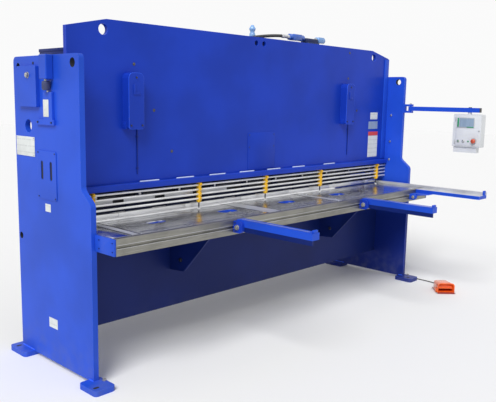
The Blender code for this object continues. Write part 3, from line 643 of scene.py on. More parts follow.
CABLE_RADIUS = 0.004
COIL_CENTRE = (3.360, 0.470)
COIL_MID = 0.044
PITCH = 2 * CABLE_RADIUS
DROP_ROUTE = (
    (3.2200, 0.4700, 0.2500), (3.2300, 0.4700, 0.2500), (3.2450, 0.4700, 0.2495),
    (3.2620, 0.4700, 0.2465), (3.2790, 0.4700, 0.2395), (3.2935, 0.4700, 0.2280),
    (3.3045, 0.4700, 0.2125), (3.3115, 0.4700, 0.1930), (3.3145, 0.4690, 0.1700),
    (3.3160, 0.4640, 0.1400), (3.3160, 0.4540, 0.1100), (3.3160, 0.4430, 0.0800),
    (3.3160, 0.4400, 0.0560), (3.3160, 0.4450, 0.0380),
)
RUN_ROUTE = (
    (3.4120, 0.4395, 0.0045), (3.4120, 0.4100, 0.0045), (3.4100, 0.3700, 0.0045),
    (3.4040, 0.3250, 0.0045), (3.3920, 0.2800, 0.0045), (3.3720, 0.2300, 0.0045),
    (3.3450, 0.1800, 0.0045), (3.3160, 0.1300, 0.0045), (3.2900, 0.0800, 0.0045),
    (3.2680, 0.0300, 0.0045), (3.2530, -0.0200, 0.0045), (3.2450, -0.0700, 0.0045),
    (3.2410, -0.1200, 0.0045), (3.2400, -0.1700, 0.0045), (3.2370, -0.2150, 0.0045),
    (3.2290, -0.2540, 0.0050), (3.2140, -0.2860, 0.0075), (3.1946, -0.3096, 0.0130),
    (3.1767, -0.3269, 0.0205), (3.1587, -0.3443, 0.0270), (3.1421, -0.3603, 0.0298),
    (3.1336, -0.3685, 0.0300), (3.1228, -0.3789, 0.0280), (3.1085, -0.3928, 0.0225),
    (3.0990, -0.4020, 0.0180),
)
PEDAL_ENTRY = 3
# The coil's turns in order, as (steps out from its middle, layer).
TURNS = ((0, 2), (1, 2), (1, 1), (0, 1), (-1, 1), (-1, 0), (0, 0), (1, 0))
TURN_POINTS = 36


def coil_points():
    """The cable's turns, from its left side at the top to its right side on the floor."""
    made = []
    for i in range(round(TURN_POINTS * 7.5) + 1):
        number, share = divmod(i / TURN_POINTS, 1)
        here = TURNS[int(number)]
        after = TURNS[min(int(number) + 1, len(TURNS) - 1)]
        t = min(1.0, max(0.0, (share - 0.70) / 0.30))
        t = t * t * (3 - 2 * t)
        radius = COIL_MID + PITCH * (here[0] + (after[0] - here[0]) * t)
        height = 0.0045 + PITCH * (here[1] + (after[1] - here[1]) * t)
        angle = math.pi - 2 * math.pi * i / TURN_POINTS
        made.append(at(COIL_CENTRE[0] + radius * math.cos(angle), COIL_CENTRE[1] + radius * math.sin(angle), height))
    return made


def make_cable():
    drop = smooth_route([at(*p) for p in DROP_ROUTE], 0.012)
    turns = coil_points()
    run = smooth_route([at(*p) for p in RUN_ROUTE], 0.015)
    down = smooth_route([*drop[-2:], (drop[-1] + turns[0]) / 2 - UP * 0.003, *turns[:2]], 0.008)
    line = [*drop[:-1], *down[4:-3], *turns, *run[1:]]
    cable = tube(line, CABLE_RADIUS, 3)
    cable.name = "pedal_cable"
    cable.data.materials.append(MATERIALS["sheath"])
    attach(cable, "machine")
    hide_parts("pedal_cable_drop", "pedal_cable_run", "pedal_cable_coil")
    gland_place = at(WIDTH, 0.470, 0.250)
    gland = piece(
        "cable_gland_nut", "machine", "black",
        drum(gland_place + RIGHT * 0.0006, gland_place + RIGHT * 0.006, 0.0138, 0.0008, 6),
        revolve([(0.0045, 0.0285), (0.0068, 0.0280), (0.0085, 0.022), (0.0098, 0.013), (0.0098, 0.006),
                 (0.0045, 0.006)], gland_place, RIGHT, 32),
        *[drum(gland_place + RIGHT * (0.008 + 0.0028 * k), gland_place + RIGHT * (0.0095 + 0.0028 * k),
               0.0104 - 0.0004 * k, 0.0004, 28) for k in range(4)],
        slot="black_rubber", replaces=["cable_gland"])
    end, before = at(*RUN_ROUTE[-1 - PEDAL_ENTRY]), at(*RUN_ROUTE[-3 - PEDAL_ENTRY])
    back = (before - end).normalized()
    end += back * 0.004
    relief = piece(
        "pedal_strain_relief", "machine", "black",
        revolve([(0.0046, 0.034), (0.0056, 0.033), (0.0068, 0.018), (0.0080, 0.004), (0.0110, 0.003),
                 (0.0110, -0.003), (0.0046, -0.003)], end, back, 32),
        slot="black_rubber")
    ties = []
    for turn in (0.35 * math.pi, 1.02 * math.pi, 1.70 * math.pi):
        mid = at(COIL_CENTRE[0] + COIL_MID * math.cos(turn), COIL_CENTRE[1] + COIL_MID * math.sin(turn), 0.0138)
        out = Vector((math.cos(turn), math.sin(turn), 0))
        ring = [mid + out * 0.0132 * math.cos(a) + UP * 0.0122 * math.sin(a)
                for a in [2 * math.pi * k / 24 for k in range(25)]]
        ties.append(pipe(ring, 0.0011, 8))
    tie = piece("coil_ties", "machine", "black", *ties, slot="black_rubber")


# ---------------------------------------------------------------- foot pedal

PEDAL_PLACE = (3.072, -0.428)
PEDAL_TURN = math.radians(-46)
PEDAL_SIZE = (0.138, 0.170, 0.086)


def in_pedal(thing):
    """Moves a shape drawn about the pedal's own middle to the pedal's place."""
    place = at(*PEDAL_PLACE, 0)
    thing.data.transform(Matrix.Translation(place) @ Matrix.Rotation(PEDAL_TURN, 4, "Z"))
    return thing


def local(x, y, z):
    return Vector((x, y, z))


def arch(half, foot, top, radius, steps=7):
    """The hood's section: upright sides and a rounded top, as (across, up) points."""
    right = [(half - radius + radius * math.cos(a), top - radius + radius * math.sin(a))
             for a in [math.pi / 2 * k / steps for k in range(steps + 1)]]
    return [(half, foot), *right, *[(-x, z) for x, z in reversed(right)], (-half, foot)]


def hood_form(outline, front, back, narrow, fall):
    """A section drawn from front to back, narrower and lower at its back."""
    thing = prism(outline, "Y", front, back, 0)
    thing.data.transform(Matrix.Translation(-START))
    for vert in thing.data.vertices:
        if vert.co.y > (front + back) / 2:
            vert.co.x *= narrow
            vert.co.z *= fall
    return thing


def make_pedal():
    wide, deep, tall = PEDAL_SIZE
    half, front, back = wide / 2, -deep / 2, deep / 2
    hood = hood_form(arch(half, 0.005, tall - 0.002, 0.024), front + 0.014, back, 0.80, 0.84)
    cut(hood, hood_form(arch(half - 0.005, 0.012, tall - 0.007, 0.020), front - 0.02, back - 0.026, 0.84, 0.88))
    soften(hood, 0.0022, 3, 40)
    rim = hood_form(arch(half + 0.0010, 0.005, tall, 0.025), front + 0.010, front + 0.018, 1, 1)
    cut(rim, hood_form(arch(half - 0.0065, -0.01, tall - 0.0075, 0.019), front - 0.02, front + 0.04, 1, 1))
    soften(rim, 0.0018, 3, 40)
    ribs = [block(local(-0.028, y - 0.0025, z - 0.006), local(0.028, y + 0.0025, z), 0.0015)
            for y, z in ((-0.030, 0.0800), (-0.008, 0.0782), (0.014, 0.0764))]
    flap = block(local(-half + 0.0105, -0.052, 0.0470), local(half - 0.0105, -0.048, tall - 0.012), 0.0015)
    flap.data.transform(Matrix.Translation((0, -0.050, 0.047)) @ Matrix.Rotation(math.radians(-24), 4, "X")
                        @ Matrix.Translation((0, 0.050, -0.047)))
    boss = block(local(-0.028, back - 0.024, 0.008), local(0.028, back + 0.0005, 0.060), 0.010, 4)
    cheeks = [block(local(x - 0.006, -0.058, 0.004), local(x + 0.006, -0.006, 0.040), 0.005, 3)
              for x in (-half - 0.0015, half + 0.0015)]
    piece("pedal_hood", "machine", "orange", *[in_pedal(s) for s in (hood, rim, *ribs, boss, flap, *cheeks)],
          slot="orange_plastic", replaces=["pedal_housing"])
    base = block(local(-half - 0.001, front - 0.003, 0.0008), local(half + 0.001, back, 0.0105), 0.003, 3)
    toe = block(local(-half + 0.012, front - 0.0035, 0.008), local(half - 0.012, front + 0.006, 0.0145), 0.002)
    piece("pedal_base", "machine", "pedal_red", *[in_pedal(s) for s in (base, toe)], slot="orange_plastic")
    ears = []
    for side in (-1, 1):
        x = side * half
        hole = side * (half + 0.005)
        for y in (-0.070, 0.052):
            ear = block(local(x - 0.011, y - 0.009, 0.001), local(x + 0.011, y + 0.009, 0.006), 0.002)
            ears.append(cut(ear, drum(local(hole, y, -0.01), local(hole, y, 0.02), 0.003, 0, 20)))
    piece("pedal_trim", "machine", "pale_grey", *[in_pedal(s) for s in ears])
    hinge = Matrix.Translation((0, back - 0.036, 0.036)) @ Matrix.Rotation(math.radians(-4), 4, "X")
    plank = block(local(-half + 0.0125, -0.112, -0.004), local(half - 0.0125, 0, 0.003), 0.0015)
    treads = [block(local(-half + 0.016, y, 0.0022), local(half - 0.016, y + 0.005, 0.0046), 0.0008)
              for y in [-0.106 + 0.0095 * k for k in range(10)]]
    shapes = [plank, *treads]
    for shape in shapes:
        shape.data.transform(hinge)
    piece("pedal_tread", "treadle", "orange", *[in_pedal(s) for s in shapes], slot="black_plastic",
          replaces=["pedal_treadle"])


# ---------------------------------------------------------------- side plates and feet

def finish_frame():
    crisp("left_side_plate", "blue", 0.003, "edge")
    crisp("right_side_plate", "right_plate_painted_shade", 0.003, "edge")
    crisp("front_plate", "face", 0.003, "edge")
    crisp("nose_bar", "face", 0.001)
    crisp("rear_tie_beam", "deep", 0.003)
    crisp("bed_frame", "night", 0.002)
    crisp("table_plate", "table", 0.001)
    crisp("table_front_rail", "rail", 0.0015)
    crisp("lower_blade", "blade", 0.0008)
    crisp("upper_blade", "dark_blade", 0.0008)
    crisp("ram_beam", "night", 0.002)
    # The hold-down guide is near-black: painted shade.
    crisp("hold_down_guide", "shade", 0.002)
    crisp("hold_down_bar", "clamp_body", 0.001)
    for side in ("left", "right"):
        crisp(f"{side}_cylinder_cover", "face", 0.003, "edge")
        crisp(f"{side}_gauge_rail", "deep", 0.0015)
        crisp(f"{side}_gauge_screw", "turned", 0)
        crisp(f"{side}_cylinder", "deep", 0)
        crisp(f"{side}_piston_rod", "bright", 0)
    for side in ("left", "middle"):
        crisp(f"{side}_support_arm", "arm", 0.002)
        crisp(f"{side}_arm_bracket", "face", 0.001, "edge")
    crisp("squaring_arm", "blue", 0.002, "edge")
    crisp("squaring_fence", "inlay", 0.0008)
    crisp("back_gauge_bar", "table", 0.0015)
    for k in range(1, 6):
        crisp(f"guard_post_{k}", "yellow", 0.001)
    for k in range(1, 5):
        crisp(f"guard_bar_{k}", "bar", 0).data.shade_smooth()
    for node in ("adjuster_hood", "side_doubler", "scale_block", "access_cover", "pendant_bracket"):
        crisp(node, "blue", 0.001)
    crisp("pendant_arm", "blue", 0.002, "edge")
    crisp("pendant_box", "pale", 0.0015)


PAD_TOP = 0.030


def foot_details():
    """The pads' anchor slots, levelling bolts and fillet welds."""
    bolts, slots, beads = [], [], []
    for left in (0.0, WIDTH - PLATE):
        for bolt_y, slot_y in ((-0.020, -0.072), (0.745, 0.752)):
            bolts.append(at(left + 0.052, bolt_y, PAD_TOP))
            outline = oblong((left - 0.033, slot_y), 0.017, 0.009)
            slots.append(prism(outline, "Z", PAD_TOP - 0.0004, PAD_TOP + 0.0004, 0))
        for y0, y1 in ((0.004, 0.044), (0.624, 0.762)):
            for x in (left - 0.001, left + PLATE + 0.001):
                beads.append(weld_bead(at(x, y0, 0.0315), at(x, y1, 0.0315), 0.0045))
    # The anchor slots are flat black shapes on the pads: painted shade for their insides.
    piece("pad_anchor_slots", "machine", "hole", *slots)
    # The pad welds take the lighter edge finish: painted highlight with wear.
    piece("pad_welds", "machine", "edge", *beads)
    screws("levelling_bolts", "machine", bolts, UP, 0.012, "zinc")


def oblong(centre, half, radius, steps=8):
    """A slot's outline: two half circles joined by straight sides, along its first direction."""
    made = []
    for side, start in ((1, -math.pi / 2), (-1, math.pi / 2)):
        for k in range(steps + 1):
            angle = start + math.pi * k / steps
            made.append((centre[0] + side * (half - radius) + radius * math.cos(angle),
                         centre[1] + radius * math.sin(angle)))
    return made


def upright_oblong(centre, half, radius):
    return [(centre[0] + b - centre[1], centre[1] + a - centre[0]) for a, b in oblong(centre, half, radius)]


def weld_bead(start, end, radius):
    """A stitch weld: a run of overlapping scales."""
    count = max(2, round((end - start).length / 0.012))
    bead = tube([start.lerp(end, k / (count * 3)) for k in range(count * 3 + 1)], radius, 1)
    spline = bead.data.splines[0]
    for k, point in enumerate(spline.points):
        point.radius = 0.55 if k in (0, len(spline.points) - 1) else (1.0, 0.90, 1.06)[k % 3]
    pick(bead)
    bpy.ops.object.convert(target="MESH")
    made = bpy.context.object
    pick(made)
    bpy.ops.object.shade_smooth()
    return made


KNURLS = 36


def left_side_details():
    """What is fixed to the left plate's outer face."""
    plates = block(at(-0.0032, 0.548, 1.189), at(-0.0004, 0.754, 1.299), 0.0008)
    small = [block(at(-0.0014, 0.394, 0.892), at(-0.0004, 0.450, 0.936), 0),
             block(at(-0.0014, 0.352, 0.225), at(-0.0004, 0.442, 0.282), 0)]
    piece("blank_plates_left", "machine", "plate", plates, *small)
    screws("name_plate_pins", "machine",
           [at(-0.0032, y, z) for y in (0.556, 0.746) for z in (1.196, 1.292)], LEFT, 0.0028, "zinc")
    piece("blade_gap_scale", "machine", "scale", block(at(-0.0172, 0.362, 1.417), at(-0.0150, 0.417, 1.509), 0.0006))
    screws("side_cap_screws", "machine",
           [at(-0.0150, y, 1.387) for y in (0.338, 0.480)], LEFT, 0.0062, "dark_bolt", cap_screw)
    screws("doubler_bolt", "machine", [at(-0.0220, 0.567, 1.640)], LEFT, 0.016, "zinc")
    # Discs in the small holes, in the unlit black: painted shade of the holes.
    plugs = ((0.542, 1.705, 0.008), (0.440, 1.702, 0.008), (0.505, 1.215, 0.004), (0.338, 1.215, 0.004))
    piece("plate_plugs_painted_shade", "machine", "hole",
          *[drum(at(-0.0012, y, z), at(0.004, y, z), radius, 0.0003, 28) for y, z, radius in plugs])
    # Dark rings on the walls of the plates' through holes: painted shade inside them.
    for name, inner in (("left", 0.0015), ("right", WIDTH - PLATE + 0.0015)):
        rings = []
        for y, z, r in ((0.713, 1.690, 0.0199), (0.738, 0.711, 0.0199), (0.146, 1.700, 0.0249)):
            ring = drum(at(inner, y, z), at(inner + 0.029, y, z), r, 0, 40)
            rings.append(cut(ring, drum(at(inner - 0.01, y, z), at(inner + 0.05, y, z), r - 0.0012, 0, 40)))
        piece(f"{name}_hole_shadow_liners", "machine", "hole", *rings)
    screws("access_cover_screws", "machine",
           [at(-0.0040, y, z) for y in (0.333, 0.509) for z in (0.973, 1.219)], LEFT, 0.0045, "dark_bolt",
           cap_screw)
    piece("cover_slot_shadows", "machine", "hole",
          *[prism(upright_oblong((y, 1.1215), 0.052, 0.0115), "X", -0.0006, 0.0004, 0) for y in (0.377, 0.471)])
    knob_foot = at(-0.025, 0.368, 1.552)
    knob = [revolve([(0.0, 0.056), (0.012, 0.056), (0.0195, 0.051), (0.0208, 0.046), (0.0208, 0.014), (0.019, 0.010),
                     (0.015, 0.006), (0.0, 0.006)], knob_foot, UP, 48)]
    for k in range(KNURLS):
        turn = 2 * math.pi * k / KNURLS
        ridge = knob_foot + Vector((math.cos(turn), math.sin(turn), 0)) * 0.0206
        knob.append(block(ridge + Vector((-0.0006, -0.0006, 0.016)), ridge + Vector((0.0006, 0.0006, 0.044)), 0))
    piece("knurled_knob", "gap_knob", "dim", *knob, slot="grey_paint", replaces=["adjuster_knob"])
    piece("adjuster_stem", "machine", "zinc",
          drum(at(-0.025, 0.368, 1.600), at(-0.025, 0.368, 1.618), 0.008, 0.0008, 28),
          drum(at(-0.0145, 0.368, 1.549), at(-0.0145, 0.368, 1.5565), 0.006, 0.0005, 28))


# ---------------------------------------------------------------- front plate

def front_details():
    beads = [weld_bead(at(x, 0.2345, 1.0425), at(x + 0.143, 0.2345, 1.0425), 0.0045)
             for x in (0.489, 0.768, 1.047, 1.326, 1.605, 1.884, 2.264)]
    piece("nose_stitch_welds", "machine", "weld", *beads)
    plugs = ((0.466, 1.717), (0.609, 1.456), (2.571, 1.711), (2.710, 1.457), (2.579, 1.911), (0.745, 1.208))
    piece("front_plugs", "machine", "dark_bolt",
          *[drum(at(x, FACE - 0.0016, z), at(x, FACE + 0.004, z), 0.0095, 0.0006, 32) for x, z in plugs])
    piece("right_filler_strip", "machine", "blue", block(at(3.096, 0.2450, 1.045), at(3.1565, 0.2527, 1.890), 0.001))
    screws("right_plate_bolts", "machine", [at(WIDTH - PLATE - 0.0006, 0.200, z) for z in (1.037, 1.192, 1.418)],
           LEFT, 0.009, "zinc")
    panel = prism([(1.419, 1.045), (1.697, 1.045), (1.697, 1.300), (1.690, 1.307), (1.426, 1.307), (1.419, 1.300)],
                  "Y", FACE - 0.0030, FACE - 0.0004, 0.0006)
    piece("centre_cover_panel", "machine", "face", panel)
    screws("centre_panel_screws", "machine", [at(x, FACE - 0.0030, z) for x in (1.432, 1.683) for z in (1.206, 1.290)],
           FRONT, 0.004, "dark_bolt", cap_screw)
    for side, x, low in (("left", 0.482, 1.086), ("right", 2.590, 1.100)):
        line = [at(x, FACE - 0.0035, 1.349), at(x, FACE - 0.0035, low)]
        clips = [block(at(x - 0.008, FACE - 0.0055, z), at(x + 0.008, FACE - 0.0004, z + 0.010), 0.001)
                 for z in (low + 0.03, 1.30)]
        piece(f"{side}_grease_pipe", "machine", "deep", pipe(line, 0.003), *clips)
    labels = [block(at(2.915, FACE - 0.0012, 1.384), at(3.023, FACE - 0.0003, 1.441), 0),
              block(at(2.895, FACE - 0.0012, 1.065), at(3.038, FACE - 0.0003, 1.246), 0)]
    piece("blank_plates_front", "machine", "plate", *labels)
    piece("slate_plate_front", "machine", "slate",
          block(at(2.892, FACE - 0.0012, 1.303), at(3.030, FACE - 0.0003, 1.366), 0))
    piece("red_header_front", "machine", "header",
          block(at(2.895, FACE - 0.0012, 1.247), at(3.038, FACE - 0.0003, 1.280), 0))
    for side, left in (("left", 0.385), ("right", 2.480)):
        face = FACE - 0.060
        hook = prism([(left + 0.030, 1.545), (left + 0.078, 1.545), (left + 0.078, 1.560), (left + 0.046, 1.560),
                      (left + 0.046, 1.604), (left + 0.030, 1.604)], "Y", face - 0.0045, face - 0.0003, 0.001)
        lip = block(at(left - 0.0070, face + 0.020, 1.352), at(left - 0.0004, FACE - 0.0006, 1.392), 0.0015)
        piece(f"{side}_cover_hook", "machine", "face", hook, lip)
        screws(f"{side}_cover_bolts", "machine",
               [at(left + 0.014, face - 0.0003, 1.372), at(left + 0.092, face - 0.0003, 1.372),
                at(left + 0.053, face - 0.0003, 1.640)], FRONT, 0.0062, "dark_bolt", cap_screw)


# ---------------------------------------------------------------- table

CUTOUTS = (0.475, 1.050, 1.630, 2.220)


def make_table():
    """The ground table top with its hand cut-outs, cross slots and long grooves."""
    top, low = TABLE_TOP, TABLE_TOP - 0.038
    plate = block(at(0.0326, -0.1425, low), at(3.1574, 0.3194, top), 0)
    tools = []
    for x in CUTOUTS:
        hole = block(at(x - 0.070, 0.028, low - 0.01), at(x + 0.070, 0.108, top + 0.01), 0)
        pick(hole)
        tools.append(soften_uprights(hole, 0.034))
    for x in (0.150, 0.205, 1.205, 1.325, 1.945, 2.015):
        tools.append(block(at(x - 0.005, -0.16, top - 0.009), at(x + 0.005, 0.298, top + 0.01), 0))
    for y, x0, x1 in ((-0.100, 0.235, 3.14), (0.150, 0.235, 2.96), (0.200, 0.235, 2.96), (0.262, 0.05, 3.10)):
        tools.append(block(at(x0, y - 0.003, top - 0.0045), at(x1, y + 0.003, top + 0.01), 0))
    cut(plate, *tools)
    soften(plate, 0.0008, 1, 40)
    piece("table_top_plate", "machine", "table", plate, slot="ground_steel", replaces=["table_plate"])
    strips = []
    for x0, x1 in ((0.158, 0.197), (1.213, 1.317), (1.953, 2.007)):
        strips.append(block(at(x0, -0.140, top + 0.0002), at(x1, 0.278, top + 0.0010), 0.0004, 1))
    piece("table_cross_strips", "machine", "inlay", *strips)
    liners = []
    for x in CUTOUTS:
        shell = block(at(x - 0.0696, 0.0284, low + 0.001), at(x + 0.0696, 0.1076, top - 0.0012), 0)
        core = block(at(x - 0.066, 0.032, low - 0.01), at(x + 0.066, 0.104, top + 0.01), 0)
        liners.append(cut(soften_uprights(shell, 0.0336), soften_uprights(core, 0.030)))
        liners.append(block(at(x - 0.012, 0.0322, low + 0.002), at(x + 0.012, 0.0560, low + 0.026), 0.001))
    piece("cutout_liners", "machine", "blue", *liners)
    ball = [(0.0, 0.0128), (0.0045, 0.0122), (0.0080, 0.0100), (0.0105, 0.0060), (0.0110, 0.0), (0.0, 0.0)]
    rollers = [revolve(ball, at(x, 0.0440, low + 0.0255), UP, 32) for x in CUTOUTS]
    piece("ball_transfers", "machine", "bright", *rollers)
    screws("table_bolts", "machine",
           [at(x, 0.228, top - 0.0048) for x in (0.330, 0.620, 0.900, 1.490, 1.780, 2.120, 2.420, 2.720)],
           UP, 0.0062, "dark_bolt", cap_screw)
    end_outline = [(-0.1720, 0.7380), (-0.0010, 0.7380), (-0.0010, 0.8260), (-0.1430, 0.8260), (-0.1720, 0.8260)]
    piece("table_end_plates", "machine", "blue",
          *[prism(end_outline, "X", x0, x1, 0.0012) for x0, x1 in ((0.0200, 0.0316), (3.1585, 3.1700))])
    screws("table_end_screws", "machine", [at(0.0200, y, z) for y in (-0.158, -0.040) for z in (0.760, 0.806)], LEFT,
           0.0045, "deep", cap_screw)
    lines = [block(at(0.034, -0.1736, 0.7925), at(3.156, -0.1722, 0.7945), 0),
             block(at(0.034, -0.1736, 0.7735), at(3.156, -0.1722, 0.7755), 0)]
    piece("rail_lips", "machine", "inlay", *lines)
    gussets = [at(x - 0.0002, 0.200, 0.530) for x in (0.775, 2.330)]
    screws("gusset_bolts", "machine", gussets, LEFT, 0.013, "dark_bolt")


def soften_uprights(thing, width):
    """Rounds only a block's upright edges."""
    pick(thing)
    bpy.ops.object.mode_set(mode="EDIT")
    bpy.ops.mesh.select_all(action="DESELECT")
    bpy.ops.object.mode_set(mode="OBJECT")
    for edge in thing.data.edges:
        one, two = (thing.data.vertices[v].co for v in edge.vertices)
        edge.select = abs(one.z - two.z) > 1e-4
    bpy.ops.object.mode_set(mode="EDIT")
    bpy.ops.mesh.select_mode(type="EDGE")
    bpy.ops.mesh.bevel(offset=width, segments=8)
    bpy.ops.object.mode_set(mode="OBJECT")
    return thing


# ---------------------------------------------------------------- guard and hold-down

GUARD_Y = 0.240
POSTS = (-1.430, -0.635, 0.0, 0.635, 1.430)


def guard_details():
    tips, caps, pins, feet = [], [], [], []
    for place in POSTS:
        x = WIDTH / 2 + place
        tips.append(revolve([(0.0, 0.0), (0.0042, 0.0), (0.0046, -0.024), (0.0034, -0.036), (0.0, -0.037)],
                            at(x, GUARD_Y, 0.8723), UP, 24))
        feet.append(drum(at(x, GUARD_Y, 0.8305), at(x, GUARD_Y, 0.8350), 0.0115, 0.001, 32))
        caps.append(drum(at(x, 0.2215, 0.9910), at(x, 0.2165, 0.9910), 0.0085, 0.001, 28))
        for z in (0.979, 0.9495, 0.920, 0.8905):
            pins.append(drum(at(x, GUARD_Y - 0.0184, z), at(x, GUARD_Y - 0.0200, z), 0.0030, 0.0003, 16))
    piece("guard_post_feet", "machine", "bar", *feet)
    piece("guard_post_tips", "machine", "black", *tips)
    piece("guard_post_caps", "machine", "yellow", *caps)
    piece("guard_set_screws", "machine", "zinc", *pins)


FEET = 10
LIT_FEET = 4


def hold_down_details():
    """The clamp bar's bright faces with the seams between them, and the pads, skirt and studs above. Bright pads stand
    only at the lit left end, as painted light; the near-black skirt is painted shade.
    """
    faces = []
    edges = (0.062, 0.370, 0.880, 1.390, 1.900, 2.410, 2.920, 3.128)
    for left, right in zip(edges, edges[1:]):
        faces.append(block(at(left + 0.0012, 0.2815, 0.8385), at(right - 0.0012, 0.2840, 0.8635), 0.001))
    piece("clamp_bar_faces", "hold_down", "clamp", *faces)
    pads, stems = [], []
    for k in range(FEET):
        middle = 0.060 + 0.307 * (k + 0.5)
        # Only the left pads, where the light falls, are drawn bright: painted light; the rest are left out so the dark
        # behind shows.
        if k < LIT_FEET:
            pads.append(block(at(middle - 0.115, 0.2800, 0.9160), at(middle + 0.115, 0.2840, 0.9480), 0.001))
        stems.append(drum(at(middle, 0.2800, 0.9640), at(middle, 0.2755, 0.9640), 0.0085, 0.001, 24))
    piece("hold_down_pads", "hold_down", "white", *pads)
    # The skirt is near-black: painted shade over the gap under the pads.
    piece("hold_down_skirt", "hold_down", "shade",
          block(at(0.062, 0.2970, 0.8655), at(3.128, 0.3010, 0.9150), 0.001))
    piece("hold_down_studs", "hold_down", "turned", *stems)


# ---------------------------------------------------------------- arms

ARMS = (("left", 0.885), ("middle", 2.200))
PIVOT_Y, PIVOT_Z = -0.203, 0.785


def arm_details():
    for side, left in ARMS:
        body = f"{side}_arm"
        stop = block(at(left + 0.012, -0.7445, 0.8285), at(left + 0.048, -0.7300, 0.8440), 0.002)
        piece(f"{side}_arm_stop", body, "blue", stop)
        rule = block(at(left + 0.026, -0.700, 0.8282), at(left + 0.034, -0.190, 0.8290), 0.0003, 1)
        piece(f"{side}_arm_rule", body, "inlay", rule)
        bracket = f"{side}_bracket"
        screws(f"{side}_pivot_bolt", bracket, [at(left - 0.0225, PIVOT_Y, PIVOT_Z)], LEFT, 0.0155, "zinc")
        screws(f"{side}_bracket_screws", bracket, [at(left - 0.0225, -0.187, z) for z in (0.762, 0.812)], LEFT, 0.005,
               "dark_bolt", cap_screw)


def squaring_details():
    left, right = 2.985, 3.115
    top = block(at(left + 0.001, -0.714, 0.8282), at(right - 0.0145, -0.1745, 0.8292), 0.0004, 1)
    ticks = []
    for k in range(49):
        y = -0.700 + 0.020 * k
        reach = 0.007 if k % 5 else 0.011
        ticks.append(block(at(right - 0.0135, y - 0.0005, 0.8486), at(right - 0.0135 + reach, y + 0.0005, 0.8490), 0))
    piece("squaring_top_plate", "machine", "inlay", top)
    piece("squaring_scale_ticks", "machine", "hole", *ticks)
    stop = prism([(-0.7148, 0.802), (-0.7020, 0.802), (-0.7020, 0.864), (-0.7148, 0.864)], "X", left + 0.084,
                 right - 0.0145, 0.002)
    piece("squaring_end_stop", "machine", "blue", stop)
    hook = prism([(-0.1735, 0.8010), (-0.2120, 0.8010), (-0.2320, 0.7920), (-0.2380, 0.7760), (-0.2300, 0.7600),
                  (-0.2120, 0.7520), (-0.1735, 0.7520)], "X", left - 0.100, left - 0.082, 0.002)
    shelf = prism([(-0.1735, 0.7870), (-0.2300, 0.7870), (-0.3300, 0.8015), (-0.1735, 0.8015)], "X", left - 0.082,
                  right - 0.040, 0.002)
    piece("squaring_bracket", "machine", "blue", hook, shelf)
    screws("squaring_bolt", "machine", [at(left - 0.1003, -0.208, 0.776)], LEFT, 0.0125, "zinc")


# ---------------------------------------------------------------- control box

PENDANT_X = 3.174
STOP_Y, STOP_Z = -0.570, 1.239
START_BUTTON_Y, STOP_BUTTON_Y, BUTTON_Z = -0.440, -0.482, 1.234


